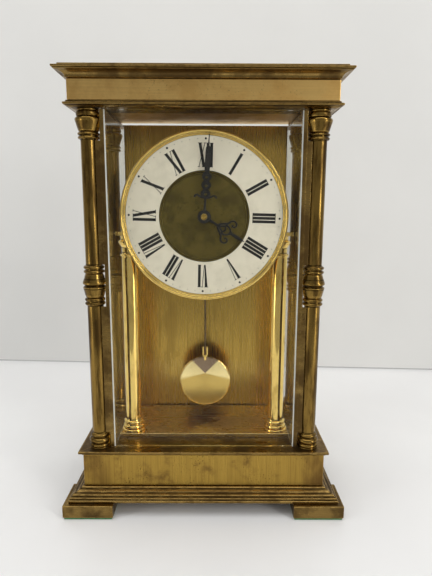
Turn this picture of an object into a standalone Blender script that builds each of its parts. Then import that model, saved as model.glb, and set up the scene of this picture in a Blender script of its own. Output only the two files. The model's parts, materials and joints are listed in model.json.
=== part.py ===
"""Brass four-column mantel clock with glass sides, a round dial and a pendulum.

Frame: metres, +Z up, origin under the middle of the feet, -Y is the front.
"""
import math

import bmesh
import bpy
from mathutils import Matrix, Vector

# ---------------------------------------------------------------- driving sizes
GAP = 0.0003            # air between two pieces that touch
HEIGHT = 0.3300         # felt to cap
BODY_W = 0.1872         # plinth and frieze, side to side
BODY_D = 0.0850         # plinth and frieze, front to back

# the stack under the columns and over them
FELT_T = 0.0012
FOOT_H = 0.0098
FOOT_L = 0.0385         # along X
FOOT_D = 0.0300         # along Y
FOOT_OVERHANG = 0.0138
BASE_MOULDING_H = 0.0085
BASE_OVERHANG = 0.0102
PLINTH_H = 0.0255
PLINTH_WALL = 0.0030
BASE_PLATE_T = 0.0035
BASE_PLATE_OVERHANG = 0.0031
ARCHITRAVE_H = 0.0042
ARCHITRAVE_OVERHANG = 0.0026
FRIEZE_H = 0.0137
FRIEZE_WALL = 0.0025
CORNICE_H = 0.0084
CORNICE_OVERHANG = 0.0077
CAP_OVERHANG = 0.0044

# corner columns
COLUMN_INSET_X = 0.0118     # body side to column axis
COLUMN_INSET_Y = 0.0094
SHAFT_R = 0.0059
COLUMN_RING_R = 0.0092      # widest ring
COLLAR_RISE = 0.1281        # base plate to the joint in the collar
TIE_ROD_R = 0.0022
TIE_ROD_CLEARANCE = 0.0004
TIE_HEAD_R = 0.0045
TIE_HEAD_H = 0.0030

# glass box and rear door
GLASS_T = 0.0024
GLASS_SETBACK = 0.0061      # body front to the front pane
SIDE_GLASS_CLEARANCE = 0.0008   # column ring to side pane
DOOR_T = 0.0016
DOOR_SETBACK = 0.0037       # body back to the door's outer face
DOOR_TOP_SLOT = 0.0024      # open slot over the door
DOOR_PIN_R = 0.0006
DOOR_PIN_CLEARANCE = 0.0004
DOOR_SWING_ROOM = 0.0010    # side pane to the architrave, where the door's corner turns
DOOR_KNOB_R = 0.0045

# platform, inner pillars and the bar they carry
PLATFORM_T = 0.0030
PILLAR_SHAFT_R = 0.0063
PILLAR_BASE_R = 0.0093
PILLAR_HEAD_R = 0.0085
PILLAR_INSET = 0.0104       # side pane to pillar axis
BAR_T = 0.0030
BAR_DROP = 0.0116           # dial centre to the bar's top
BAR_WEB = 0.0030            # front to back, behind the dial

# dial and hands
DIAL_SIDE_CLEARANCE = 0.0060
DIAL_TOP_CLEARANCE = 0.0110
DIAL_SETBACK = 0.0100       # front pane to the chapter ring's face
BEZEL_W = 0.0042
BEZEL_PROUD = 0.0018
CHAPTER_W = 0.0251
CHAPTER_T = 0.0011
DIAL_PLATE_T = 0.0012
DIAL_FOOT_R = 0.0020
DIAL_FOOT_X = 0.0220        # dial centre to a foot
DIAL_FOOT_Z = 0.0310
HAND_T = 0.0007
MINUTE_HAND_BORE = 0.0020
HOUR_HAND_BORE = 0.0031
HOUR_HAND_OVER_RING = 0.0010
MINUTE_HAND_SHORT = 0.0016
MINUTES_SHOWN = 0.6         # the clock rests at a little past four
HOURS_SHOWN = 4

# movement, front to back
MOTION_SPACE = 0.0065       # dial plate to front plate
MOVEMENT_PLATE_T = 0.0020
MOVEMENT_DEPTH = 0.0200     # between the plates
MOVEMENT_HALF_W = 0.0335
MOVEMENT_HALF_H = 0.0455
MOVEMENT_CORNER_R = 0.0120
MOVEMENT_PILLAR_R = 0.0020
POST_X = 0.0270             # dial centre to a spacing post
POST_Z = 0.0385
ARBOR_R = 0.0007
CENTRE_ARBOR_R = 0.0010     # where it carries the cannon pinion
CANNON_BORE = 0.0013
CANNON_R = 0.0018
HOUR_PIPE_BORE = 0.0022
HOUR_PIPE_R = 0.0029
WINDING_ARBOR_R = 0.0018
KEY_SEAT_R = 0.0014
SET_KNOB_R = 0.0048
PIVOT_R = 0.00045
PIVOT_CLEARANCE = 0.0003
WHEEL_T = 0.0010
PINION_T = 0.0022

# teeth and modules
BARREL_TEETH, INTERMEDIATE_LEAVES, BARREL_MODULE = 48, 6, 0.00080
INTERMEDIATE_TEETH, CENTRE_LEAVES, INTERMEDIATE_MODULE = 40, 10, 0.00072
CENTRE_TEETH, THIRD_LEAVES, CENTRE_MODULE = 70, 6, 0.00044
THIRD_TEETH, ESCAPE_LEAVES, THIRD_MODULE = 72, 6, 0.00040
CANNON_TEETH, MINUTE_TEETH, CANNON_MODULE = 12, 36, 0.00070
MINUTE_LEAVES, HOUR_TEETH = 10, 40
ESCAPE_TEETH = 30
ESCAPE_R = 0.0085
RATCHET_TEETH = 24
RATCHET_R = 0.0072

# pendulum
SUSPENSION_RISE = 0.0372    # dial centre to the bending point
PALLET_DROP = 0.0122        # bending point to the escape arbor
PENDULUM_SETBACK = 0.0050   # back plate to the pendulum's plane
BOB_RISE = 0.0324           # platform to the bob's centre
BOB_R = 0.0222
BOB_T = 0.0060
ROD_R = 0.0008

ROUND = 12                  # sides of a turned piece
SMALL_ROUND = 8

# ---------------------------------------------------------------- worked-out places
HALF_W = BODY_W / 2
HALF_D = BODY_D / 2
Z_FOOT = FELT_T + GAP
Z_MOULDING = Z_FOOT + FOOT_H + GAP
Z_PLINTH = Z_MOULDING + BASE_MOULDING_H + GAP
Z_BASE_PLATE = Z_PLINTH + PLINTH_H + GAP
Z_FLOOR = Z_BASE_PLATE + BASE_PLATE_T
Z_CORNICE = HEIGHT - CORNICE_H
Z_FRIEZE = Z_CORNICE - GAP - FRIEZE_H
Z_ARCHITRAVE = Z_FRIEZE - GAP - ARCHITRAVE_H
Z_COLUMN = Z_FLOOR + GAP
Z_COLUMN_TOP = Z_ARCHITRAVE - GAP
Z_COLLAR = Z_FLOOR + COLLAR_RISE
COLUMN_X = HALF_W - COLUMN_INSET_X
COLUMN_Y = HALF_D - COLUMN_INSET_Y

SIDE_OUT = COLUMN_X - COLUMN_RING_R - SIDE_GLASS_CLEARANCE
SIDE_IN = SIDE_OUT - GLASS_T
GLASS_FRONT = -HALF_D + GLASS_SETBACK
GLASS_BACK = GLASS_FRONT + GLASS_T
DOOR_OUT = HALF_D - DOOR_SETBACK
DOOR_IN = DOOR_OUT - DOOR_T
Z_DOOR_TOP = Z_FRIEZE - DOOR_TOP_SLOT
DOOR_EDGE = SIDE_OUT + GAP
DOOR_AXIS = (DOOR_EDGE - DOOR_T / 2, (DOOR_IN + DOOR_OUT) / 2)

DIAL_R = SIDE_IN - DIAL_SIDE_CLEARANCE
DIAL_Z = Z_ARCHITRAVE - DIAL_TOP_CLEARANCE - DIAL_R
CHAPTER_FRONT = GLASS_BACK + DIAL_SETBACK
CHAPTER_BACK = CHAPTER_FRONT + CHAPTER_T
CHAPTER_OUT = DIAL_R - BEZEL_W
CHAPTER_IN = CHAPTER_OUT - CHAPTER_W
DIAL_PLATE_FRONT = CHAPTER_BACK + GAP
DIAL_BACK = DIAL_PLATE_FRONT + DIAL_PLATE_T

FRONT_PLATE = DIAL_BACK + MOTION_SPACE
FRONT_PLATE_IN = FRONT_PLATE + MOVEMENT_PLATE_T
BACK_PLATE_IN = FRONT_PLATE_IN + MOVEMENT_DEPTH
BACK_PLATE = BACK_PLATE_IN + MOVEMENT_PLATE_T
PENDULUM_Y = BACK_PLATE + PENDULUM_SETBACK

PILLAR_X = SIDE_IN - PILLAR_INSET
PILLAR_Y = DIAL_BACK + 0.0010 + PILLAR_BASE_R
Z_PLATFORM = Z_FLOOR + GAP + PLATFORM_T
Z_BAR_TOP = DIAL_Z - BAR_DROP
Z_BAR = Z_BAR_TOP - BAR_T

SUSPENSION_Z = DIAL_Z + SUSPENSION_RISE
BOB_Z = Z_PLATFORM + BOB_RISE


def pitch_radius(teeth, module):
    return teeth * module / 2


def meet(first, first_r, second, second_r, side):
    """Point at given distances from two points, on the left (+1) or right (-1)."""
    line = second - first
    along = (first_r ** 2 - second_r ** 2 + line.length_squared) / (2 * line.length)
    across = math.sqrt(first_r ** 2 - along ** 2)
    unit = line.normalized()
    return first + unit * along + Vector((-unit.y, unit.x)) * across * side


def polar(centre, radius, degrees):
    angle = math.radians(degrees)
    return centre + Vector((math.cos(angle), math.sin(angle))) * radius


# arbor places in the X-Z plane
CENTRE = Vector((0.0, DIAL_Z))
SUSPENSION = Vector((0.0, SUSPENSION_Z))
ESCAPE = SUSPENSION - Vector((0.0, PALLET_DROP))
CENTRE_TO_THIRD = pitch_radius(CENTRE_TEETH + THIRD_LEAVES, CENTRE_MODULE)
THIRD_TO_ESCAPE = pitch_radius(THIRD_TEETH + ESCAPE_LEAVES, THIRD_MODULE)
THIRD = meet(CENTRE, CENTRE_TO_THIRD, ESCAPE, THIRD_TO_ESCAPE, -1)
CENTRE_TO_INTERMEDIATE = pitch_radius(INTERMEDIATE_TEETH + CENTRE_LEAVES, INTERMEDIATE_MODULE)
BARREL_TO_INTERMEDIATE = pitch_radius(BARREL_TEETH + INTERMEDIATE_LEAVES, BARREL_MODULE)
CENTRE_TO_BARREL = BARREL_TO_INTERMEDIATE + 0.0010
BARREL = polar(CENTRE, CENTRE_TO_BARREL, -55)
INTERMEDIATE = meet(CENTRE, CENTRE_TO_INTERMEDIATE, BARREL, BARREL_TO_INTERMEDIATE, -1)
CENTRE_TO_MINUTE = pitch_radius(CANNON_TEETH + MINUTE_TEETH, CANNON_MODULE)
MINUTE = polar(CENTRE, CENTRE_TO_MINUTE, 150)
HOUR_MODULE = 2 * CENTRE_TO_MINUTE / (MINUTE_LEAVES + HOUR_TEETH)
CLICK_TIP = polar(BARREL, RATCHET_R - 0.0007, -26.8)
CLICK = CLICK_TIP + Vector((0.00512, 0.00303))

# places along Y inside the movement
GREAT_WHEEL_Y = FRONT_PLATE_IN + 0.0012
DRUM_T = 0.0128
INTERMEDIATE_WHEEL_Y = GREAT_WHEEL_Y + DRUM_T + 0.0014
CENTRE_WHEEL_Y = INTERMEDIATE_WHEEL_Y + 0.0025
THIRD_WHEEL_Y = FRONT_PLATE_IN + 0.0055
ESCAPE_WHEEL_Y = FRONT_PLATE_IN + 0.0120
CANNON_Y = FRONT_PLATE - 0.0028
HOUR_WHEEL_Y = DIAL_BACK + 0.0012
HOUR_HAND_Y = CHAPTER_FRONT - 0.0022
MINUTE_HAND_Y = HOUR_HAND_Y - 0.0023

# ---------------------------------------------------------------- materials
FINISHES = {
    "brass_satin": ((0.52, 0.36, 0.13), 0.38, 1.0),
    "brass_aged": ((0.40, 0.27, 0.09), 0.35, 1.0),
    "brass_bright": ((0.78, 0.58, 0.22), 0.18, 1.0),
    "brass_works": ((0.66, 0.49, 0.20), 0.30, 1.0),
    "silvered": ((0.62, 0.60, 0.52), 0.45, 0.6),
    "blacked": ((0.015, 0.014, 0.013), 0.40, 0.3),
    "steel": ((0.45, 0.45, 0.46), 0.30, 1.0),
    "glass": ((0.90, 0.95, 0.93), 0.02, 0.0),
    "felt_green": ((0.03, 0.16, 0.05), 0.95, 0.0),
}


def material(name):
    known = bpy.data.materials.get(name)
    if known:
        return known
    colour, roughness, metallic = FINISHES[name]
    made = bpy.data.materials.new(name)
    made.use_nodes = True
    shader = made.node_tree.nodes["Principled BSDF"]
    shader.inputs["Base Color"].default_value = (*colour, 1.0)
    shader.inputs["Roughness"].default_value = roughness
    shader.inputs["Metallic"].default_value = metallic
    if name == "glass":
        shader.inputs["Transmission Weight"].default_value = 1.0
    return made


# ---------------------------------------------------------------- mesh helpers
def finish(name, bm, finish_name, origin=(0, 0, 0), smooth=True):
    """Close the mesh, face it outwards, and give it its origin and material."""
    bmesh.ops.remove_doubles(bm, verts=bm.verts, dist=1e-6)
    bmesh.ops.recalc_face_normals(bm, faces=bm.faces)
    bmesh.ops.translate(bm, verts=bm.verts, vec=-Vector(origin))
    mesh = bpy.data.meshes.new(name)
    bm.to_mesh(mesh)
    bm.free()
    if smooth:
        mesh.shade_smooth()
        mesh.set_sharp_from_angle(angle=math.radians(32))
    obj = bpy.data.objects.new(name, mesh)
    obj.location = origin
    obj.data.materials.append(material(finish_name))
    bpy.context.collection.objects.link(obj)
    return obj


def combine(target, *others, operation="UNION"):
    """Boolean the other objects into the target and drop them."""
    bpy.context.view_layer.update()
    for other in others:
        step = target.modifiers.new(operation.lower(), "BOOLEAN")
        step.operation = operation
        step.object = other
    graph = bpy.context.evaluated_depsgraph_get()
    result = bpy.data.meshes.new_from_object(target.evaluated_get(graph))
    target.modifiers.clear()
    old = target.data
    target.data = result
    result.name = target.name
    result.materials.clear()
    result.materials.append(old.materials[0])
    bpy.data.meshes.remove(old)
    for other in others:
        bpy.data.objects.remove(other)
    return target


def block_bm(low, high):
    bm = bmesh.new()
    bmesh.ops.create_cube(bm, size=1.0)
    low, high = Vector(low), Vector(high)
    bmesh.ops.scale(bm, verts=bm.verts, vec=high - low)
    bmesh.ops.translate(bm, verts=bm.verts, vec=(low + high) / 2)
    return bm


def block(name, low, high, finish_name, edge=0.0, origin=(0, 0, 0)):
    """A rectangular piece, its edges eased by a small chamfer."""
    bm = block_bm(low, high)
    if edge:
        bmesh.ops.bevel(bm, geom=bm.edges[:], offset=edge, segments=1, affect="EDGES")
    return finish(name, bm, finish_name, origin, smooth=False)


def turned(name, profile, finish_name, centre=(0, 0, 0), axis="Z", sides=ROUND):
    """Spin a closed profile of (radius, height) about an axis through centre."""
    bm = bmesh.new()
    verts = [bm.verts.new((r, 0, h)) for r, h in profile]
    edges = [bm.edges.new((a, b)) for a, b in zip(verts, verts[1:] + verts[:1])]
    bmesh.ops.spin(bm, geom=verts + edges, cent=(0, 0, 0), axis=(0, 0, 1), dvec=(0, 0, 0),
                   angle=math.tau, steps=sides, use_merge=True)
    bmesh.ops.remove_doubles(bm, verts=bm.verts, dist=1e-6)
    bmesh.ops.dissolve_degenerate(bm, edges=bm.edges, dist=1e-7)
    on_axis = [edge for edge in bm.edges if not edge.link_faces]
    bmesh.ops.delete(bm, geom=on_axis, context="EDGES")
    if axis == "Y":
        bmesh.ops.rotate(bm, verts=bm.verts, matrix=Matrix.Rotation(math.radians(-90), 3, "X"))
    bmesh.ops.translate(bm, verts=bm.verts, vec=centre)
    return finish(name, bm, finish_name, centre)


def rod(name, place, radius, start, end, finish_name, sides=SMALL_ROUND):
    """A round rod along Y between two depths, at a place in the X-Z plane."""
    profile = [(0, start), (radius, start), (radius, end), (0, end)]
    return turned(name, profile, finish_name, (place.x, 0, place.y), "Y", sides)


def flat(name, outlines, start, end, finish_name, origin=None):
    """Extrude outlines in the X-Z plane, the first outside and the rest holes, along Y."""
    bm = bmesh.new()
    edges = []
    for outline in outlines:
        verts = [bm.verts.new((p[0], start, p[1])) for p in outline]
        edges += [bm.edges.new((a, b)) for a, b in zip(verts, verts[1:] + verts[:1])]
    bmesh.ops.triangle_fill(bm, edges=edges, use_beauty=True, use_dissolve=False)
    new = bmesh.ops.extrude_face_region(bm, geom=bm.faces[:])["geom"]
    moved = [item for item in new if isinstance(item, bmesh.types.BMVert)]
    bmesh.ops.translate(bm, verts=moved, vec=(0, end - start, 0))
    return finish(name, bm, finish_name, origin or (0, 0, 0), smooth=False)


def sheet(name, outlines, low, high, finish_name):
    """Extrude outlines in the X-Y plane upwards from low to high."""
    bm = bmesh.new()
    edges = []
    for outline in outlines:
        verts = [bm.verts.new((p[0], p[1], low)) for p in outline]
        edges += [bm.edges.new((a, b)) for a, b in zip(verts, verts[1:] + verts[:1])]
    bmesh.ops.triangle_fill(bm, edges=edges, use_beauty=True, use_dissolve=False)
    new = bmesh.ops.extrude_face_region(bm, geom=bm.faces[:])["geom"]
    moved = [item for item in new if isinstance(item, bmesh.types.BMVert)]
    bmesh.ops.translate(bm, verts=moved, vec=(0, 0, high - low))
    return finish(name, bm, finish_name, smooth=False)


def moulded_slab(name, levels, finish_name):
    """A slab whose edge steps in and out: levels are (overhang, height), bottom to top."""
    bm = bmesh.new()
    loops = []
    for out, z in levels:
        x, y = HALF_W + out, HALF_D + out
        loops.append([bm.verts.new(p) for p in ((-x, -y, z), (x, -y, z), (x, y, z), (-x, y, z))])
    for low, high in zip(loops, loops[1:]):
        for i in range(4):
            bm.faces.new((low[i], low[i - 3], high[i - 3], high[i]))
    bm.faces.new(loops[0])
    bm.faces.new(loops[-1])
    return finish(name, bm, finish_name, smooth=False)


def moulded_run(name, section, corners, finish_name, closed=True):
    """Carry a closed section of (outward, height) round mitred corners.

    Each corner is (x, y, (dx, dy)): a point, and how it moves for each unit outward.
    """
    bm = bmesh.new()
    loops = [[bm.verts.new((x + out * dx, y + out * dy, z)) for out, z in section]
             for x, y, (dx, dy) in corners]
    pairs = list(zip(loops, loops[1:])) + ([(loops[-1], loops[0])] if closed else [])
    count = len(section)
    for near, far in pairs:
        for i in range(count):
            j = (i + 1) % count
            bm.faces.new((near[i], near[j], far[j], far[i]))
    if not closed:
        bm.faces.new(loops[0])
        bm.faces.new(loops[-1])
    return finish(name, bm, finish_name, smooth=False)


def arc(centre, radius, first, last, count):
    """Points on an arc, angles in degrees."""
    return [polar(centre, radius, first + (last - first) * i / (count - 1)) for i in range(count)]


def circle(centre, radius, count):
    return [polar(centre, radius, 360 * i / count) for i in range(count)]


def gear(centre, teeth, module, phase):
    """Outline of a toothed wheel; phase is the angle of the middle of one tooth."""
    pitch_r = pitch_radius(teeth, module)
    tip_r = pitch_r + 0.65 * module
    root_r = pitch_r - 1.25 * module
    step = math.tau / teeth
    points = []
    for i in range(teeth):
        middle = phase + i * step
        for radius, turn in ((root_r, -0.26), (tip_r, -0.085), (tip_r, 0.085), (root_r, 0.26)):
            angle = middle + turn * step
            points.append(centre + Vector((math.cos(angle), math.sin(angle))) * radius)
    return points


def meshing_phase(centre, teeth, phase, other, other_teeth):
    """Phase of a wheel at `other` whose gap faces the first wheel's tooth."""
    line = other - centre
    facing = math.atan2(line.y, line.x)
    share = (facing - phase) * teeth / math.tau
    return facing + math.pi - (0.5 - share) * math.tau / other_teeth


def crossings(centre, outer, inner, count, spoke):
    """Openings between the spokes of a wheel."""
    holes = []
    for i in range(count):
        start, stop = 360 / count * i, 360 / count * (i + 1)
        trim_out, trim_in = math.degrees(spoke / outer), math.degrees(spoke / inner)
        holes.append(arc(centre, outer, start + trim_out, stop - trim_out, 4)
                     + arc(centre, inner, stop - trim_in, start + trim_in, 2))
    return holes


# ---------------------------------------------------------------- case
def make_feet():
    for side, sx in (("left", -1), ("right", 1)):
        for end, sy in (("front", -1), ("rear", 1)):
            x_out, y_out = sx * (HALF_W + FOOT_OVERHANG), sy * (HALF_D + FOOT_OVERHANG)
            x_in, y_in = x_out - sx * FOOT_L, y_out - sy * FOOT_D
            low = (min(x_in, x_out), min(y_in, y_out))
            high = (max(x_in, x_out), max(y_in, y_out))
            block(f"foot_{end}_{side}", (*low, Z_FOOT), (*high, Z_FOOT + FOOT_H), "brass_aged", 0.0006)
            ease = 0.0008
            block(f"felt_pad_{end}_{side}", (low[0] + ease, low[1] + ease, 0),
                  (high[0] - ease, high[1] - ease, FELT_T), "felt_green")


def corners_at(half_w, half_d):
    return [(sx * half_w, sy * half_d, (sx, sy)) for sx, sy in ((-1, -1), (1, -1), (1, 1), (-1, 1))]


def make_base():
    z = Z_MOULDING
    inner = -PLINTH_WALL - 0.0050
    section = [(inner, z), (BASE_OVERHANG, z), (BASE_OVERHANG, z + 0.0024),
               (BASE_OVERHANG - 0.0016, z + 0.0030),
               (BASE_OVERHANG - 0.0020, z + 0.0044), (0.0045, z + 0.0054), (0.0022, z + 0.0066),
               (0.0014, z + BASE_MOULDING_H), (inner, z + BASE_MOULDING_H)]
    moulded_run("base_moulding", section, corners_at(HALF_W, HALF_D), "brass_aged")
    box_wall = [(-PLINTH_WALL, Z_PLINTH), (0, Z_PLINTH), (0, Z_PLINTH + PLINTH_H),
                (-PLINTH_WALL, Z_PLINTH + PLINTH_H)]
    moulded_run("plinth_box", box_wall, corners_at(HALF_W, HALF_D), "brass_satin")
    z = Z_BASE_PLATE
    out = BASE_PLATE_OVERHANG
    levels = [(0.0008, z), (0.0014, z + 0.0012), (out, z + 0.0018), (out, z + BASE_PLATE_T - 0.0004),
              (out - 0.0004, z + BASE_PLATE_T)]
    plate = moulded_slab("base_plate", levels, "brass_aged")
    bores = [turned(f"bore_{x}_{y}", [(0, z - 0.001), (TIE_ROD_R + TIE_ROD_CLEARANCE, z - 0.001),
                    (TIE_ROD_R + TIE_ROD_CLEARANCE, Z_FLOOR + 0.001), (0, Z_FLOOR + 0.001)],
                    "brass_aged", (x * COLUMN_X, y * COLUMN_Y, 0), sides=12)
             for x in (-1, 1) for y in (-1, 1)]
    combine(plate, *bores, door_pivot_bore(z - 0.001, Z_FLOOR + 0.001), operation="DIFFERENCE")
    block("inner_platform", (-SIDE_IN + GAP, PILLAR_Y - PILLAR_BASE_R - GAP, Z_FLOOR + GAP),
          (SIDE_IN - GAP, DOOR_IN - 0.0020, Z_PLATFORM), "brass_satin", 0.0003)


def door_pivot_bore(low, high):
    radius = DOOR_PIN_R + DOOR_PIN_CLEARANCE
    return turned("pivot_bore", [(0, low), (radius, low), (radius, high), (0, high)], "brass_aged",
                  (*DOOR_AXIS, 0), sides=12)


def column_ring(r, middle, half):
    """A small ring on a column, its rim eased to two points, going up."""
    return [(r, middle - half * 0.6), (r, middle + half * 0.6)]


def make_columns():
    bore = TIE_ROD_R + TIE_ROD_CLEARANCE
    neck = SHAFT_R + 0.0008
    base = Z_COLUMN
    lower = [(bore, base), (COLUMN_RING_R - 0.0010, base),
             *column_ring(COLUMN_RING_R - 0.0001, base + 0.0025, 0.0018),
             (neck + 0.0003, base + 0.0058), *column_ring(SHAFT_R + 0.0019, base + 0.0087, 0.0008),
             (SHAFT_R, base + 0.0100), (SHAFT_R, Z_COLLAR - 0.0155)]
    lower += column_ring(SHAFT_R + 0.0019, Z_COLLAR - 0.0137, 0.0012)
    lower += column_ring(SHAFT_R + 0.0017, Z_COLLAR - 0.0105, 0.0009)
    lower += [(neck, Z_COLLAR - 0.0092), (COLUMN_RING_R - 0.0010, Z_COLLAR - 0.0046),
              (COLUMN_RING_R, Z_COLLAR - 0.0020), (COLUMN_RING_R, Z_COLLAR - 0.0012),
              (SHAFT_R + 0.0017, Z_COLLAR - 0.0006), (SHAFT_R + 0.0017, Z_COLLAR), (bore, Z_COLLAR)]
    joint = Z_COLLAR + GAP
    top = Z_COLUMN_TOP
    upper = [(bore, joint), (SHAFT_R + 0.0017, joint), (COLUMN_RING_R, joint + 0.0008),
             (COLUMN_RING_R - 0.0008, joint + 0.0034), (neck, joint + 0.0078)]
    upper += column_ring(SHAFT_R + 0.0017, joint + 0.0102, 0.0012)
    upper += column_ring(SHAFT_R + 0.0016, joint + 0.0135, 0.0012)
    upper += [(SHAFT_R, joint + 0.0152), (SHAFT_R, top - 0.0170)]
    upper += column_ring(SHAFT_R + 0.0018, top - 0.0157, 0.0010)
    upper += column_ring(SHAFT_R + 0.0022, top - 0.0129, 0.0010)
    upper += [(SHAFT_R + 0.0005, top - 0.0116), (COLUMN_RING_R - 0.0009, top - 0.0062),
              (COLUMN_RING_R, top - 0.0046), (COLUMN_RING_R - 0.0001, top - 0.0038),
              (SHAFT_R + 0.0011, top - 0.0032), (SHAFT_R + 0.0014, top - 0.0016), (SHAFT_R + 0.0006, top),
              (bore, top)]
    shank_top = Z_FRIEZE + FRIEZE_WALL
    head = Z_BASE_PLATE - GAP
    rod_profile = [(0, head - TIE_HEAD_H), (TIE_HEAD_R, head - TIE_HEAD_H), (TIE_HEAD_R, head),
                   (TIE_ROD_R, head), (TIE_ROD_R, shank_top), (0, shank_top)]
    for side, sx in (("left", -1), ("right", 1)):
        for end, sy in (("front", -1), ("rear", 1)):
            place = (sx * COLUMN_X, sy * COLUMN_Y, 0)
            turned(f"column_lower_{end}_{side}", lower, "brass_aged", place)
            turned(f"column_upper_{end}_{side}", upper, "brass_aged", place)
            turned(f"tie_rod_{end}_{side}", rod_profile, "steel", place, sides=8)


def make_top():
    z = Z_ARCHITRAVE
    inner = -(HALF_W - SIDE_OUT) + DOOR_SWING_ROOM
    # the sides' inner faces stand just outside the door's edge; the rear is open over the door
    section = [(inner, z), (-0.0018, z), (0.0012, z + 0.0010), (ARCHITRAVE_OVERHANG, z + 0.0016),
               (ARCHITRAVE_OVERHANG, z + 0.0028), (0.0008, z + 0.0034), (0.0008, z + ARCHITRAVE_H),
               (inner, z + ARCHITRAVE_H)]
    path = [(-HALF_W, HALF_D + ARCHITRAVE_OVERHANG, (-1, 0)), (-HALF_W, -HALF_D, (-1, -1)),
            (HALF_W, -HALF_D, (1, -1)), (HALF_W, HALF_D + ARCHITRAVE_OVERHANG, (1, 0))]
    architrave = moulded_run("architrave", section, path, "brass_aged", closed=False)
    low, high = z - 0.001, Z_FRIEZE + FRIEZE_WALL + 0.001
    radius = TIE_ROD_R + TIE_ROD_CLEARANCE

    def bores():
        return [turned(f"bore_{x}_{y}", [(0, low), (radius, low), (radius, high), (0, high)], "brass_aged",
                       (x * COLUMN_X, y * COLUMN_Y, 0), sides=12) for x in (-1, 1) for y in (-1, 1)]

    combine(architrave, *bores(), operation="DIFFERENCE")
    frieze = block("frieze_box", (-HALF_W, -HALF_D, Z_FRIEZE), (HALF_W, HALF_D, Z_FRIEZE + FRIEZE_H),
                   "brass_satin")
    wall = FRIEZE_WALL
    hollow = block("hollow", (-HALF_W + wall, -HALF_D + wall, Z_FRIEZE + wall),
                   (HALF_W - wall, HALF_D - wall, Z_FRIEZE + FRIEZE_H + 0.001), "brass_satin")
    combine(frieze, hollow, *bores(), door_pivot_bore(low, high), operation="DIFFERENCE")
    z = Z_CORNICE
    levels = [(-0.0004, z), (0.0002, z + 0.0006), (0.0014, z + 0.0016), (0.0042, z + 0.0034),
              (0.0058, z + 0.0042), (CORNICE_OVERHANG - 0.0006, z + 0.0046), (CORNICE_OVERHANG, z + 0.0052),
              (CORNICE_OVERHANG, z + 0.0066), (CAP_OVERHANG, z + 0.0070), (CAP_OVERHANG, HEIGHT - 0.0003),
              (CAP_OVERHANG - 0.0003, HEIGHT)]
    moulded_slab("cornice", levels, "brass_aged")


def make_glass():
    low, high = Z_FLOOR + GAP, Z_ARCHITRAVE - GAP
    block("glass_front", (-SIDE_IN + GAP, GLASS_FRONT, low), (SIDE_IN - GAP, GLASS_BACK, high), "glass",
          0.0002)
    for side, sx in (("left", -1), ("right", 1)):
        x = sorted((sx * SIDE_IN, sx * SIDE_OUT))
        block(f"glass_{side}", (x[0], GLASS_FRONT, low), (x[1], DOOR_IN - 0.0008, high), "glass", 0.0002)


def make_rear_door():
    low = Z_FLOOR + 0.0007
    origin = (*DOOR_AXIS, 0)
    door = block("rear_door", (-DOOR_EDGE, DOOR_IN, low), (DOOR_EDGE, DOOR_OUT, Z_DOOR_TOP), "brass_satin",
                 origin=origin)
    pin_low = [(0, Z_FLOOR - 0.0015), (DOOR_PIN_R, Z_FLOOR - 0.0015), (DOOR_PIN_R, low + 0.002),
               (0, low + 0.002)]
    pin_high = [(0, Z_DOOR_TOP - 0.002), (DOOR_PIN_R, Z_DOOR_TOP - 0.002), (DOOR_PIN_R, Z_FRIEZE + 0.0015),
                (0, Z_FRIEZE + 0.0015)]
    combine(door, turned("pin_low", pin_low, "brass_satin", origin, sides=8),
            turned("pin_high", pin_high, "brass_satin", origin, sides=8))
    y = DOOR_OUT + GAP
    knob = [(0, y), (DOOR_KNOB_R * 0.6, y), (DOOR_KNOB_R * 0.45, y + 0.0022), (DOOR_KNOB_R, y + 0.0046),
            (DOOR_KNOB_R * 0.9, y + 0.0066), (0, y + 0.0078)]
    turned("door_knob", knob, "brass_bright", (-DOOR_EDGE + 0.0100, 0, (low + Z_DOOR_TOP) / 2), "Y", 14)


# ---------------------------------------------------------------- pillars, bar and dial
def make_pillars():
    base, top = Z_PLATFORM + GAP, Z_BAR - GAP
    r = PILLAR_SHAFT_R
    profile = [(0, base), (PILLAR_BASE_R, base), (PILLAR_BASE_R, base + 0.0018),
               (PILLAR_BASE_R - 0.0014, base + 0.0036),
               (r + 0.0008, base + 0.0056), (r + 0.0018, base + 0.0076), (r + 0.0018, base + 0.0088),
               (r, base + 0.0102), (r, top - 0.0160), (r + 0.0012, top - 0.0150), (r + 0.0012, top - 0.0136),
               (r - 0.0002, top - 0.0120), (r - 0.0002, top - 0.0082), (PILLAR_HEAD_R, top - 0.0058),
               (PILLAR_HEAD_R, top - 0.0036), (r + 0.0006, top - 0.0018), (r + 0.0006, top), (0, top)]
    for side, sx in (("left", -1), ("right", 1)):
        turned(f"inner_pillar_{side}", profile, "brass_bright", (sx * PILLAR_X, PILLAR_Y, 0))
    end_x, notch_x = SIDE_IN - 0.0006, MOVEMENT_HALF_W + 0.0012
    front = FRONT_PLATE - GAP - BAR_WEB
    back = FRONT_PLATE - GAP
    end_front, end_back = PILLAR_Y - PILLAR_SHAFT_R, PILLAR_Y + PILLAR_SHAFT_R
    outline = [(-end_x, end_front), (-notch_x, end_front), (-notch_x + 0.003, front),
               (notch_x - 0.003, front),
               (notch_x, end_front), (end_x, end_front), (end_x, end_back), (notch_x, end_back),
               (notch_x, back), (-notch_x, back), (-notch_x, end_back), (-end_x, end_back)]
    sheet("movement_bar", [outline], Z_BAR, Z_BAR_TOP, "brass_bright")


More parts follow.
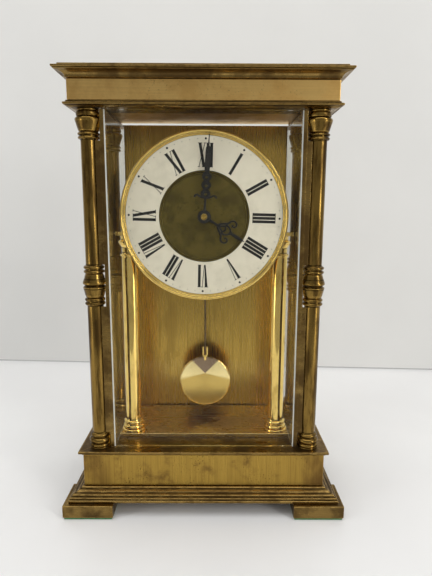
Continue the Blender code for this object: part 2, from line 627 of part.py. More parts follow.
def make_dial():
    centre = (0, 0, DIAL_Z)
    pipe_hole = 0.0036
    lip = CHAPTER_OUT - 0.0006
    face, back = DIAL_PLATE_FRONT, DIAL_BACK
    ledge = CHAPTER_IN - 0.0006
    plate = turned("dial_plate", [(pipe_hole, face), (ledge - 0.0022, face), (ledge - 0.0018, face - 0.0006),
                   (ledge, face - 0.0006), (ledge, face), (lip, face), (lip, back), (pipe_hole, back)],
                   "brass_aged", centre, "Y", 40)
    feet = []
    for x in (-DIAL_FOOT_X, DIAL_FOOT_X):
        for z in (-DIAL_FOOT_Z, DIAL_FOOT_Z):
            place = CENTRE + Vector((x, z))
            feet.append(rod("foot", place, DIAL_FOOT_R, back - 0.0004, FRONT_PLATE - GAP, "brass_aged", 8))
    combine(plate, *feet)
    turned("chapter_ring", [(CHAPTER_IN, CHAPTER_FRONT), (CHAPTER_OUT - GAP, CHAPTER_FRONT),
           (CHAPTER_OUT - GAP, CHAPTER_BACK), (CHAPTER_IN, CHAPTER_BACK)], "silvered", centre, "Y", 40)
    front = CHAPTER_FRONT - BEZEL_PROUD
    section = [(CHAPTER_OUT, back), (CHAPTER_OUT, CHAPTER_FRONT - 0.0004), (CHAPTER_OUT + 0.0012, front + 0.0004),
               (CHAPTER_OUT + 0.0020, front + 0.0006), (CHAPTER_OUT + 0.0026, front),
               (DIAL_R - 0.0006, front + 0.0003), (DIAL_R, front + 0.0012), (DIAL_R, back)]
    turned("bezel", section, "brass_bright", centre, "Y", 40)


def clockwise(points, degrees, centre):
    """Turn (across, along) hand points so that `along` points at a clock angle."""
    angle = math.radians(degrees)
    cos, sin = math.cos(angle), math.sin(angle)
    return [centre + Vector((x * cos + y * sin, -x * sin + y * cos)) for x, y in points]


def hand(name, half_outline, holes, bore, y, degrees):
    """A pierced hand, symmetric about its length, given by one half of its outline."""
    outline = half_outline + [(-x, a) for x, a in reversed(half_outline) if x > 0]
    loops = [clockwise(outline, degrees, CENTRE), circle(CENTRE, bore, 12)]
    loops += [clockwise(hole, degrees, CENTRE) for hole in holes]
    return flat(name, loops, y, y + HAND_T, "blacked", (0, y, DIAL_Z))


def make_hands():
    minute_angle = MINUTES_SHOWN * 6
    hour_angle = (HOURS_SHOWN + MINUTES_SHOWN / 60) * 30
    reach = CHAPTER_OUT - MINUTE_HAND_SHORT
    boss = 0.0042
    half = [(0.0, -boss), (boss * 0.7, -boss * 0.7), (boss, 0), (boss * 0.6, boss * 0.8), (0.0012, 0.0070),
            (0.0014, 0.0110), (0.0048, 0.0150), (0.0052, 0.0185), (0.0022, 0.0220), (0.0012, 0.0255),
            (0.0022, 0.0300), (0.0021, 0.0420), (0.0007, 0.0440), (0.0003, reach - 0.001), (0.0, reach)]
    eye = [(0.0016, 0.0150), (0.0034, 0.0165), (0.0016, 0.0190)]
    holes = [eye, [(-x, a) for x, a in eye]]
    hand("minute_hand", half, holes, MINUTE_HAND_BORE, MINUTE_HAND_Y, minute_angle)
    reach = CHAPTER_IN + HOUR_HAND_OVER_RING
    boss = 0.0050
    half = [(0.0, -boss), (boss * 0.7, -boss * 0.7), (boss, 0), (boss * 0.6, boss * 0.8), (0.0014, 0.0080),
            (0.0018, 0.0120), (0.0066, 0.0150), (0.0076, 0.0190), (0.0050, 0.0225), (0.0016, 0.0235),
            (0.0046, 0.0265), (0.0040, 0.0295), (0.0008, 0.0315), (0.0004, reach - 0.001), (0.0, reach)]
    eye = [(0.0020, 0.0155), (0.0050, 0.0170), (0.0048, 0.0195), (0.0020, 0.0205)]
    holes = [eye, [(-x, a) for x, a in eye]]
    hand("hour_hand", half, holes, HOUR_HAND_BORE, HOUR_HAND_Y, hour_angle)
    y = MINUTE_HAND_Y - GAP
    turned("hand_nut", [(0, y), (0.0044, y), (0.0044, y - 0.0006), (0.0024, y - 0.0010),
                        (0.0022, y - 0.0019), (0, y - 0.0024)],
           "brass_bright", (0, 0, DIAL_Z), "Y", 16)


# ---------------------------------------------------------------- movement
def rounded_plate(half_w, low, high, corner):
    corners = ((half_w - corner, high - corner, 0), (-half_w + corner, high - corner, 90),
               (-half_w + corner, low + corner, 180), (half_w - corner, low + corner, 270))
    return [p for x, z, first in corners for p in arc(CENTRE + Vector((x, z)), corner, first, first + 90, 5)]


def make_plates():
    outline = rounded_plate(MOVEMENT_HALF_W, -MOVEMENT_HALF_H, MOVEMENT_HALF_H, MOVEMENT_CORNER_R)
    hole = PIVOT_R + PIVOT_CLEARANCE
    arbor_hole = ARBOR_R + PIVOT_CLEARANCE
    front_holes = [circle(p, hole, 10) for p in (THIRD, ESCAPE, INTERMEDIATE, BARREL, SUSPENSION)]
    front_holes += [circle(p, arbor_hole, 10) for p in (CENTRE, MINUTE)]
    front = flat("movement_plate_front", [outline] + front_holes, FRONT_PLATE, FRONT_PLATE_IN, "brass_works")
    pillars = []
    for x in (-POST_X, POST_X):
        for z in (-POST_Z, POST_Z):
            pillars.append(rod("pillar", CENTRE + Vector((x, z)), MOVEMENT_PILLAR_R, FRONT_PLATE_IN - 0.0005,
                               BACK_PLATE_IN - GAP, "brass_works", 10))
    combine(front, *pillars)
    back_holes = [circle(p, hole, 10) for p in (THIRD, ESCAPE, INTERMEDIATE, CENTRE)]
    back_holes += [circle(p, arbor_hole, 10) for p in (MINUTE, SUSPENSION)]
    back_holes.append(circle(BARREL, WINDING_ARBOR_R + PIVOT_CLEARANCE, 12))
    flat("movement_plate_back", [outline] + back_holes, BACK_PLATE_IN, BACK_PLATE, "brass_works")


def wheel(name, place, teeth, module, phase, y, spokes, finish_name="brass_works", thickness=WHEEL_T,
          bore=None):
    """A flat toothed wheel with crossings; a bore makes it a separate ring."""
    outlines = [gear(place, teeth, module, phase)]
    if spokes:
        rim = pitch_radius(teeth, module) - 2.6 * module
        outlines += crossings(place, rim, 0.0032, spokes, 0.0006)
    if bore:
        outlines.append(circle(place, bore, 12))
    return flat(name, outlines, y, y + thickness, finish_name, (place.x, 0, place.y))


def arbor(name, place, start, end, body_start, body_end, finish_name="steel"):
    """A stepped arbor: thin pivots run in the plates, the body between them."""
    profile = [(0, start), (PIVOT_R, start), (PIVOT_R, body_start), (ARBOR_R, body_start),
               (ARBOR_R, body_end), (PIVOT_R, body_end), (PIVOT_R, end), (0, end)]
    return turned(name, profile, finish_name, (place.x, 0, place.y), "Y", SMALL_ROUND)


def make_going_train():
    inside = FRONT_PLATE_IN + GAP * 2, BACK_PLATE_IN - GAP * 2
    pivots = FRONT_PLATE + GAP, BACK_PLATE - GAP
    phase = 0.0
    great = wheel("spring_barrel", BARREL, BARREL_TEETH, BARREL_MODULE, phase, GREAT_WHEEL_Y, 0)
    drum_r = pitch_radius(BARREL_TEETH, BARREL_MODULE) - 0.0028
    drum_end = GREAT_WHEEL_Y + DRUM_T
    bore = WINDING_ARBOR_R + PIVOT_CLEARANCE
    drum = turned("drum", [(0, GREAT_WHEEL_Y + 0.0005), (drum_r, GREAT_WHEEL_Y + 0.0005),
                           (drum_r, drum_end), (0, drum_end)],
                  "brass_works", (BARREL.x, 0, BARREL.y), "Y", 24)
    combine(great, drum)
    hollow = turned("hollow", [(0, GREAT_WHEEL_Y + 0.0016), (drum_r - 0.0010, GREAT_WHEEL_Y + 0.0016),
                    (drum_r - 0.0010, drum_end + 0.001), (0, drum_end + 0.001)], "brass_works",
                    (BARREL.x, 0, BARREL.y), "Y", 24)
    shaft_hole = rod("bore", BARREL, bore, GREAT_WHEEL_Y - 0.001, drum_end + 0.001, "brass_works", 12)
    combine(great, hollow, shaft_hole,
            operation="DIFFERENCE")
    make_mainspring(drum_r - 0.0014, GREAT_WHEEL_Y + 0.0022, drum_end - 0.0006)

    spin = meshing_phase(BARREL, BARREL_TEETH, phase, INTERMEDIATE, INTERMEDIATE_LEAVES)
    pinion = wheel("pinion", INTERMEDIATE, INTERMEDIATE_LEAVES, BARREL_MODULE, spin, GREAT_WHEEL_Y - 0.0004, 0,
                   thickness=PINION_T)
    middle = wheel("intermediate_wheel", INTERMEDIATE, INTERMEDIATE_TEETH, INTERMEDIATE_MODULE, 0.0,
                   INTERMEDIATE_WHEEL_Y, 5)
    combine(middle, arbor("arbor", INTERMEDIATE, *pivots, *inside), pinion)

    spin = meshing_phase(INTERMEDIATE, INTERMEDIATE_TEETH, 0.0, CENTRE, CENTRE_LEAVES)
    pinion = wheel("pinion", CENTRE, CENTRE_LEAVES, INTERMEDIATE_MODULE, spin,
                   INTERMEDIATE_WHEEL_Y - 0.0005, 0, thickness=0.0020)
    centre = wheel("centre_wheel", CENTRE, CENTRE_TEETH, CENTRE_MODULE, 0.0, CENTRE_WHEEL_Y, 5,
                   thickness=0.0009)
    long_arbor = turned("arbor", [(0, MINUTE_HAND_Y + 0.0002), (CENTRE_ARBOR_R, MINUTE_HAND_Y + 0.0002),
                                  (CENTRE_ARBOR_R, FRONT_PLATE - 0.0030),
                        (ARBOR_R, FRONT_PLATE - 0.0030), (ARBOR_R, inside[1]), (PIVOT_R, inside[1]),
                        (PIVOT_R, pivots[1]), (0, pivots[1])], "steel", (0, 0, DIAL_Z), "Y", SMALL_ROUND)
    combine(centre, long_arbor, pinion)

    spin = meshing_phase(CENTRE, CENTRE_TEETH, 0.0, THIRD, THIRD_LEAVES)
    pinion = wheel("pinion", THIRD, THIRD_LEAVES, CENTRE_MODULE, spin, CENTRE_WHEEL_Y - 0.0004, 0,
                   thickness=0.0018)
    third = wheel("third_wheel", THIRD, THIRD_TEETH, THIRD_MODULE, 0.0, THIRD_WHEEL_Y, 5, thickness=0.0008)
    combine(third, arbor("arbor", THIRD, *pivots, *inside), pinion)

    spin = meshing_phase(THIRD, THIRD_TEETH, 0.0, ESCAPE, ESCAPE_LEAVES)
    pinion = wheel("pinion", ESCAPE, ESCAPE_LEAVES, THIRD_MODULE, spin, THIRD_WHEEL_Y - 0.0006, 0,
                   thickness=0.0020)
    outline = []
    for i in range(ESCAPE_TEETH):
        start = 360 / ESCAPE_TEETH * i
        outline += [polar(ESCAPE, ESCAPE_R, start), polar(ESCAPE, ESCAPE_R * 0.86, start + 3.6),
                    polar(ESCAPE, ESCAPE_R * 0.86, start + 9.6)]
    escape = flat("escape_wheel", [outline] + crossings(ESCAPE, ESCAPE_R * 0.74, 0.0024, 4, 0.0005),
                  ESCAPE_WHEEL_Y, ESCAPE_WHEEL_Y + 0.0008, "brass_works", (ESCAPE.x, 0, ESCAPE.y))
    combine(escape, arbor("arbor", ESCAPE, *pivots, *inside), pinion)


def make_mainspring(outer, start, end):
    """The coiled spring: one flat strip wound from the barrel's wall to its arbor."""
    turns, steps, strip = 4, 12, 0.0005
    inner = outer * 0.45
    count = turns * steps
    outside, inside = [], []
    for i in range(count + 1):
        radius = outer - (outer - inner) * i / count
        outside.append(polar(BARREL, radius, 360 * i / steps))
        inside.append(polar(BARREL, radius - strip, 360 * i / steps))
    flat("mainspring", [outside + inside[::-1]], start, end, "steel", (BARREL.x, 0, BARREL.y))


def make_winding():
    place = (BARREL.x, 0, BARREL.y)
    y = BACK_PLATE + GAP
    end = PENDULUM_Y + BOB_T / 2
    profile = [(0, FRONT_PLATE + GAP), (PIVOT_R, FRONT_PLATE + GAP), (PIVOT_R, FRONT_PLATE_IN + GAP * 2),
               (WINDING_ARBOR_R, FRONT_PLATE_IN + GAP * 2), (WINDING_ARBOR_R, y + 0.0030),
               (KEY_SEAT_R, y + 0.0030), (KEY_SEAT_R, end), (0, end)]
    core = turned("winding_arbor", profile, "steel", place, "Y", 12)
    teeth = []
    for i in range(RATCHET_TEETH):
        start = 360 / RATCHET_TEETH * i
        teeth += [polar(BARREL, RATCHET_R, start), polar(BARREL, RATCHET_R - 0.0010, start + 1.5)]
    ratchet = flat("ratchet", [teeth], y + 0.0004, y + 0.0016, "steel", place)
    combine(core, ratchet)

    along = (CLICK - CLICK_TIP).normalized()
    outward = Vector((along.y, -along.x))
    pawl = [CLICK_TIP + along * u + outward * v
            for u, v in ((0.0, 0.0), (0.0022, -0.0001), (0.0046, -0.0012), (0.0072, -0.0012),
                         (0.0072, 0.0014),
                         (0.0046, 0.0014), (0.0012, 0.0011))]
    flat("click", [pawl], y + 0.0004, y + 0.0016, "steel", (CLICK.x, 0, CLICK.y))

    key_start, wing = y + 0.0036, 0.0070
    hub = turned("winding_key", [(0.0016, key_start), (0.0026, key_start), (0.0026, key_start + 0.0050),
                 (0.0016, key_start + 0.0050)], "brass_bright", place, "Y", 12)
    wings = []
    half = [(0.0022, -0.0012), (0.0044, -0.0034), (wing, -0.0026), (wing, 0.0026), (0.0044, 0.0034),
            (0.0022, 0.0012)]
    for sx in (-1, 1):
        shape = [BARREL + Vector((sx * x, z)) for x, z in half]
        wings.append(flat("wing", [shape], key_start + 0.0020, key_start + 0.0036, "brass_bright"))
    combine(hub, *wings)


def make_motion_work():
    pipe = (0, 0, DIAL_Z)
    cannon = wheel("cannon_pinion", CENTRE, CANNON_TEETH, CANNON_MODULE, 0.0, CANNON_Y, 0, "steel", 0.0012,
                   bore=CANNON_BORE)
    sleeve = turned("sleeve", [(CANNON_BORE, MINUTE_HAND_Y + 0.0001), (CANNON_R, MINUTE_HAND_Y + 0.0001),
                               (CANNON_R, CANNON_Y + 0.0006),
                    (CANNON_BORE, CANNON_Y + 0.0006)], "steel", pipe, "Y", 12)
    combine(cannon, sleeve)
    spin = meshing_phase(CENTRE, CANNON_TEETH, 0.0, MINUTE, MINUTE_TEETH)
    minute = wheel("minute_wheel", MINUTE, MINUTE_TEETH, CANNON_MODULE, spin, CANNON_Y, 4, thickness=0.0012)
    pinion = wheel("pinion", MINUTE, MINUTE_LEAVES, HOUR_MODULE, 0.0, HOUR_WHEEL_Y - 0.0003, 0, "steel",
                   CANNON_Y - HOUR_WHEEL_Y + 0.0009)
    long_arbor = rod("arbor", MINUTE, ARBOR_R, CANNON_Y + 0.0006, BACK_PLATE + 0.0075, "steel")
    combine(minute, pinion, long_arbor)
    spin = meshing_phase(MINUTE, MINUTE_LEAVES, 0.0, CENTRE, HOUR_TEETH)
    hour = wheel("hour_wheel", CENTRE, HOUR_TEETH, HOUR_MODULE, spin, HOUR_WHEEL_Y, 0, bore=HOUR_PIPE_BORE)
    tube = turned("tube", [(HOUR_PIPE_BORE, HOUR_HAND_Y + 0.0001), (HOUR_PIPE_R, HOUR_HAND_Y + 0.0001),
                           (HOUR_PIPE_R, HOUR_WHEEL_Y + 0.0005),
                  (HOUR_PIPE_BORE, HOUR_WHEEL_Y + 0.0005)], "brass_works", pipe, "Y", 12)
    combine(hour, tube)
    y = BACK_PLATE + 0.0026
    turned("set_knob", [(ARBOR_R + 0.0002, y), (0.0030, y), (SET_KNOB_R, y + 0.0008),
                        (SET_KNOB_R, y + 0.0034), (0.0030, y + 0.0042),
           (ARBOR_R + 0.0002, y + 0.0042)], "brass_bright", (MINUTE.x, 0, MINUTE.y), "Y", 16)


def make_escapement():
    inside = FRONT_PLATE_IN + GAP * 2
    y = ESCAPE_WHEEL_Y - 0.0004
    hub = 0.0026
    clear = ESCAPE_R + 0.0006
    half = [(0.0, hub), (0.0020, hub * 0.7), (0.0060, -0.0014), (0.0096, -0.0062),
            (clear + 0.0014, -PALLET_DROP + 0.0016),
            (clear, -PALLET_DROP + 0.0020), (0.0078, -0.0062), (0.0040, -0.0024)]
    outline = half + [(-x, z) for x, z in reversed(half) if x > 0]
    pallets = flat("pallets", [[SUSPENSION + Vector(p) for p in outline]], y, y + 0.0016, "steel",
                   (0, 0, SUSPENSION_Z))
    crutch_y = BACK_PLATE + 0.0009
    staff = [(0, FRONT_PLATE + GAP), (PIVOT_R, FRONT_PLATE + GAP), (PIVOT_R, inside), (ARBOR_R, inside),
             (ARBOR_R, crutch_y + 0.0005), (0, crutch_y + 0.0005)]
    core = turned("core", staff, "steel", (0, 0, SUSPENSION_Z), "Y", SMALL_ROUND)
    drop = 0.0200
    shape = [(-0.0020, 0.0020), (0.0020, 0.0020), (0.0010, -0.0040), (0.0010, -drop), (-0.0010, -drop),
             (-0.0010, -0.0040)]
    arm = flat("arm", [[SUSPENSION + Vector(p) for p in shape]], crutch_y, crutch_y + 0.0010, "steel")
    prong = ROD_R + 0.0006
    side, tip = prong + 0.0007, PENDULUM_Y + 0.0020
    shape = [(-side, crutch_y + 0.0002), (side, crutch_y + 0.0002), (side, tip), (prong, tip),
             (prong, crutch_y + 0.0016), (-prong, crutch_y + 0.0016), (-prong, tip), (-side, tip)]
    fork = sheet("fork", [shape], SUSPENSION_Z - drop - 0.0006, SUSPENSION_Z - drop + 0.0012, "steel")
    combine(pallets, core, arm, fork)

    slot = 0.0009
    rise = 0.0024
    jaw = [(-0.0050, BACK_PLATE + GAP), (0.0050, BACK_PLATE + GAP), (0.0050, PENDULUM_Y + 0.0030),
           (slot, PENDULUM_Y + 0.0030),
           (slot, PENDULUM_Y - 0.0022), (-slot, PENDULUM_Y - 0.0022), (-slot, PENDULUM_Y + 0.0030),
           (-0.0050, PENDULUM_Y + 0.0030)]
    sheet("suspension_cock", [jaw], SUSPENSION_Z + rise, SUSPENSION_Z + rise + 0.0052, "brass_works")


def make_pendulum():
    y, pivot = PENDULUM_Y, (0, PENDULUM_Y, SUSPENSION_Z)
    block_top = SUSPENSION_Z - 0.0040
    bob_top = BOB_Z + BOB_R
    pendulum = block("pendulum_rod", (-0.0009, y - 0.0018, block_top - 0.0060),
                     (0.0009, y + 0.0018, block_top),
                     "steel", origin=pivot)
    spring = block("spring", (-0.0002, y - 0.0016, block_top - 0.0010),
                   (0.0002, y + 0.0016, SUSPENSION_Z + 0.0062),
                   "steel")
    stem = turned("stem", [(0, bob_top + GAP), (ROD_R, bob_top + GAP), (ROD_R, block_top - 0.0030),
                  (0, block_top - 0.0030)], "steel", (0, y, 0), sides=8)
    combine(pendulum, spring, stem)

    front = -BOB_T / 2
    profile = [(0, front + 0.0010), (BOB_R - 0.0030, front), (BOB_R - 0.0010, front + 0.0004),
               (BOB_R, front + 0.0018),
               (BOB_R, -front - 0.0018), (BOB_R - 0.0012, -front), (0, -front)]
    bob = turned("pendulum_bob", profile, "brass_bright", (0, y, BOB_Z), "Y", 32)
    # a flat clip rises from the bob's rim and forks in front of the rod
    clip_y, inner, outer = y - ROD_R - 0.0011, 0.0012, 0.0021
    seat, fork, tip = bob_top - 0.0040, bob_top + 0.0064, bob_top + 0.0152
    outline = [(-0.0009, seat), (0.0009, seat), (0.0009, fork), (outer, fork + 0.0012), (outer, tip),
               (inner, tip),
               (inner, fork + 0.0022), (-inner, fork + 0.0022), (-inner, tip), (-outer, tip),
               (-outer, fork + 0.0012),
               (-0.0009, fork)]
    combine(bob, flat("clip", [outline], clip_y, clip_y + 0.0008, "brass_bright"))
    bob.data.transform(Matrix.Translation((0, 0, BOB_Z - SUSPENSION_Z)))
    bob.location = pivot


def main():
    for obj in list(bpy.data.objects):
        bpy.data.objects.remove(obj)
    make_feet()
    make_base()
    make_columns()
    make_top()
    make_glass()
    make_rear_door()
    make_pillars()
    make_dial()
    make_hands()
    make_plates()
    make_going_train()
    make_winding()
    make_motion_work()
    make_escapement()
    make_pendulum()


main()
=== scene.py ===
"""Looks for a brass four-column mantel clock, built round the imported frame.

Metres, +Z up, -Y is the front. Pieces take their places from the frame's own nodes.
"""
import json
import math

import bmesh
import bpy
from mathutils import Matrix, Vector


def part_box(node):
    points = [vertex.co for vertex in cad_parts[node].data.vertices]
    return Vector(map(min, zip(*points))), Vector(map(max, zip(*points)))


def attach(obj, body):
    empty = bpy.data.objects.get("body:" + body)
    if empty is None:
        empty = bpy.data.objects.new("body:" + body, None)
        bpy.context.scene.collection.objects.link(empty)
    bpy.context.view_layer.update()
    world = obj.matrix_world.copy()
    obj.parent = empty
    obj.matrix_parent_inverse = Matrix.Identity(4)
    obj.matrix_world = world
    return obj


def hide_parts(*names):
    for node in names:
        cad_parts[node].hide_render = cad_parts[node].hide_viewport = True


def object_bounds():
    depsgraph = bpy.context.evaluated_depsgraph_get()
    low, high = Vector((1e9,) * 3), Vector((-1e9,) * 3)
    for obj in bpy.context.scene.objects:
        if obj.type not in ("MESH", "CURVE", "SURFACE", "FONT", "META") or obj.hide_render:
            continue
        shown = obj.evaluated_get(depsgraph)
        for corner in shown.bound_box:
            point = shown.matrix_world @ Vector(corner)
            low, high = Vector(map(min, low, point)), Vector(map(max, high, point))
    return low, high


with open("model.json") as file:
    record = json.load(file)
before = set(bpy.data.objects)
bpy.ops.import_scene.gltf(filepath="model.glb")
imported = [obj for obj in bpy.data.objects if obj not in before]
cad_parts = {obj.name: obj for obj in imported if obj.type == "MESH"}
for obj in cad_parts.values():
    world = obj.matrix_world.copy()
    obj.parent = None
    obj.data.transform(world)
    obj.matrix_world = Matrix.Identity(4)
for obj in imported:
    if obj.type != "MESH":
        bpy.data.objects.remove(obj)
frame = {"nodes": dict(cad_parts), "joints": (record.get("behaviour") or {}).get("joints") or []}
cad_low, cad_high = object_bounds()
nodes = frame["nodes"]

MM = 0.001
AXIS_TOUCH = 1e-6       # a turned profile this near its axis closes on it
SHARP = 38              # degrees between faces past which an edge stays sharp
EASE_STEPS = 4          # faces round an eased corner
NEARLY_STRAIGHT = 0.02  # sine of a turn too slight to ease
CURVE_STEPS = 6         # points between two stated points of a curve
CORNER_EASE = 0.0006    # the case's upright corners
DIAL_TURN = 1.2         # degrees the dial sits turned, clockwise
CORNERS = [(end, side) for side in ("left", "right") for end in ("front", "rear")]


# ---------------------------------------------------------------- finishes
class Finish:
    """A material whose pattern is worked out from Object coordinates."""

    def __init__(self, name, colour, roughness, metallic=0.0):
        self.material = bpy.data.materials.new(name)
        self.material.use_nodes = True
        self.material.diffuse_color = (*colour, 1.0)
        self.tree = self.material.node_tree
        self.shader = self.tree.nodes["Principled BSDF"]
        self.set("Base Color", (*colour, 1.0))
        self.set("Roughness", roughness)
        self.set("Metallic", metallic)
        self.place = self.add("ShaderNodeTexCoord").outputs["Object"]

    def set(self, socket, value):
        self.shader.inputs[socket].default_value = value

    def feed(self, socket, source):
        """Link a source to one of the shader's inputs."""
        self.tree.links.new(source, self.shader.inputs[socket])

    def surface(self, shader):
        out = next(n for n in self.tree.nodes if n.type == "OUTPUT_MATERIAL")
        self.put(out.inputs["Surface"], shader)

    def add(self, kind, **settings):
        node = self.tree.nodes.new(kind)
        for key, value in settings.items():
            setattr(node, key, value)
        return node

    def put(self, socket, value):
        """A link or a plain value into any socket."""
        if isinstance(value, bpy.types.NodeSocket):
            self.tree.links.new(value, socket)
        else:
            socket.default_value = value

    def noise(self, stretch, detail=3.0, rough=0.55, shift=(0.0, 0.0, 0.0)):
        """Cloudy values; a larger stretch packs them closer along that axis."""
        mapping = self.add("ShaderNodeMapping")
        mapping.inputs["Scale"].default_value = stretch
        mapping.inputs["Location"].default_value = shift
        self.put(mapping.inputs["Vector"], self.place)
        node = self.add("ShaderNodeTexNoise")
        node.inputs["Scale"].default_value = 1.0
        node.inputs["Detail"].default_value = detail
        node.inputs["Roughness"].default_value = rough
        self.put(node.inputs["Vector"], mapping.outputs["Vector"])
        return node.outputs["Fac"]

    def between(self, value, low, high, to_low=0.0, to_high=1.0):
        """Ease a value from one range into another."""
        node = self.add("ShaderNodeMapRange", interpolation_type="SMOOTHSTEP")
        for socket, number in zip(("Value", "From Min", "From Max", "To Min", "To Max"),
                                  (value, low, high, to_low, to_high)):
            self.put(node.inputs[socket], number)
        return node.outputs["Result"]

    def calc(self, operation, first, second=0.0):
        node = self.add("ShaderNodeMath", operation=operation)
        self.put(node.inputs[0], first)
        self.put(node.inputs[1], second)
        return node.outputs["Value"]

    def mix(self, share, first, second):
        """Blend two colours; share is the second one's."""
        node = self.add("ShaderNodeMix", data_type="RGBA")
        self.put(node.inputs["Factor"], share)
        for socket, colour in ((node.inputs[6], first), (node.inputs[7], second)):
            linked = isinstance(colour, bpy.types.NodeSocket)
            self.put(socket, colour if linked else (*colour, 1.0))
        return node.outputs[2]

    def along(self, axis):
        """The place along one axis, in metres."""
        node = self.add("ShaderNodeSeparateXYZ")
        self.put(node.inputs[0], self.place)
        return node.outputs[axis]

    def attribute(self, name):
        return self.add("ShaderNodeAttribute", attribute_name=name).outputs["Fac"]

    def bump(self, *layers):
        """Stack bumps, each (height, distance, strength)."""
        normal = None
        for height, distance, strength in layers:
            node = self.add("ShaderNodeBump")
            node.inputs["Distance"].default_value = distance
            node.inputs["Strength"].default_value = strength
            self.put(node.inputs["Height"], height)
            if normal:
                self.put(node.inputs["Normal"], normal)
            normal = node.outputs["Normal"]
        self.feed("Normal", normal)


def brass(name, clean, dull, shine=0.2, matt=0.42, tarnish=0.4, grain=None, grain_depth=0.12,
          pits=0.3, painted_end_shade=0.0, patch=48.0, streak=1.0):
    """Brass with tarnish in patches, a brushed grain, pits, rubbed edges and darker inward corners, plus
    painted shade and painted dark reflection where asked.

    tarnish is the share that is dull; grain stretches the brushing along the face; the end-shade share
    paints shade onto a long face, darker towards both outer sides; streak above 1 draws the tarnish out
    upwards.
    """
    f = Finish(name, clean, shine, 1.0)
    middle = 0.66 - 0.32 * tarnish
    cloud = f.noise((patch, patch, patch / streak), 6.0, 0.62)
    tarnish_and_painted_shade = f.between(cloud, middle - 0.10, middle + 0.14)
    # Painted shade: a long face darkened and dulled towards both outer sides.
    if painted_end_shade:
        side = f.calc("ABSOLUTE", f.along("X"))
        edge = f.between(side, 0.060, 0.092, 0.0, painted_end_shade)
        broken = f.noise((70.0, 70.0, 26.0), 5.0, 0.6, (3.1, 0.0, 0.0))
        tarnish_and_painted_shade = f.calc("MAXIMUM", tarnish_and_painted_shade, f.calc("MULTIPLY", edge, f.between(broken, 0.30, 0.62)))
    colour = f.mix(tarnish_and_painted_shade, clean, dull)
    rough = f.between(tarnish_and_painted_shade, 0.0, 1.0, shine, matt)
    layers = []
    if grain:
        fine = f.noise(grain, 2.0, 0.5)
        darker = tuple(c * (1.0 - grain_depth * 2.2) for c in dull)
        colour = f.mix(f.between(fine, 0.35, 0.80, 0.0, grain_depth * 2.6), colour, darker)
        rough = f.calc("ADD", rough, f.between(fine, 0.3, 0.7, -0.04, 0.06))
        layers.append((fine, 0.00003, grain_depth * 1.6))
    spots = f.noise((820.0, 820.0, 820.0), 2.0, 0.4)
    where = f.noise((30.0, 30.0, 30.0), 3.0, 0.5, (7.7, 2.2, 0.0))
    pitted = f.calc("MULTIPLY", f.between(spots, 0.62, 0.70), f.between(where, 0.46, 0.62, 0.0, pits))
    colour = f.mix(pitted, colour, tuple(c * 0.22 for c in dull))
    wear_and_darkening = f.attribute("wear_and_darkening")
    uneven = f.noise((260.0, 260.0, 260.0), 3.0, 0.5)
    rubbed = f.calc("MULTIPLY", f.between(wear_and_darkening, 0.25, 0.9), f.between(uneven, 0.36, 0.56, 0.25, 1.0))
    colour = f.mix(rubbed, colour, tuple(min(1.0, c * 1.16) for c in clean))
    # Darker where the mark is below nought: inward corners, and a painted dark reflection where a profile
    # marks a band, as on the bezel.
    inward_dark_and_painted_reflection = f.calc("MULTIPLY", f.between(wear_and_darkening, -0.1, -0.9), f.between(uneven, 0.3, 0.6, 0.55, 1.0))
    colour = f.mix(inward_dark_and_painted_reflection, colour, tuple(c * 0.20 for c in dull))
    rough = f.calc("ADD", rough, f.calc("MULTIPLY", inward_dark_and_painted_reflection, 0.25))
    rough = f.calc("SUBTRACT", rough, f.calc("MULTIPLY", rubbed, 0.08))
    f.feed("Base Color", colour)
    f.feed("Roughness", rough)
    layers.append((f.calc("MULTIPLY", pitted, -1.0), 0.00006, 0.5))
    layers.append((f.noise((150.0, 150.0, 150.0), 3.0, 0.5), 0.00012, 0.10))
    f.bump(*layers)
    return f.material


def plain_metal(name, clean, dull, shine, matt, metallic=1.0, gloss=0.5):
    """Steel, silvering, lacquer and ground glass: a close grain and faint clouds."""
    f = Finish(name, clean, shine, metallic)
    f.set("Specular IOR Level", gloss)
    cloud = f.noise((65.0, 65.0, 65.0), 5.0, 0.6)
    close = f.noise((1500.0, 1500.0, 1500.0), 2.0, 0.5)
    f.feed("Base Color", f.mix(f.between(cloud, 0.38, 0.72, 0.0, 0.75), clean, dull))
    rough = f.between(cloud, 0.35, 0.7, shine, matt)
    f.feed("Roughness", f.calc("ADD", rough, f.between(close, 0.3, 0.7, -0.03, 0.05)))
    f.bump((close, 0.00002, 0.25))
    return f.material


def spun_brass_painted_wedges(name, centre, top, side, foot):
    """A disc turned on a lathe about +Y: drawn-out highlights, and four wedges of painted reflection in its
    colour.

    top, side and foot are the colours of the painted reflection wedges; both side wedges share one.
    """
    f = Finish(name, side, 0.24, 1.0)
    f.set("Anisotropic", 1.0)
    f.set("Anisotropic Rotation", 0.25)
    tangent = f.add("ShaderNodeTangent", direction_type="RADIAL", axis="Y")
    f.feed("Tangent", tangent.outputs["Tangent"])
    # Painted reflection: a dark top wedge, bright side wedges and a golden foot, picked by the angle round
    # the bob's centre.
    across = f.calc("ABSOLUTE", f.calc("SUBTRACT", f.along("X"), centre.x))
    turn = f.calc("ARCTAN2", across, f.calc("SUBTRACT", f.along("Z"), centre.z))
    painted_reflection_wedges = f.mix(f.between(turn, 0.70, 0.88), top, side)
    painted_reflection_wedges = f.mix(f.between(turn, 1.72, 1.92), painted_reflection_wedges, foot)
    cloud = f.noise((90.0, 90.0, 90.0), 5.0, 0.6)
    f.feed("Base Color", f.mix(f.between(cloud, 0.50, 0.80, 0.0, 0.22), painted_reflection_wedges, tuple(c * 0.7 for c in foot)))
    f.feed("Roughness", f.between(cloud, 0.35, 0.75, 0.15, 0.18))
    return f.material


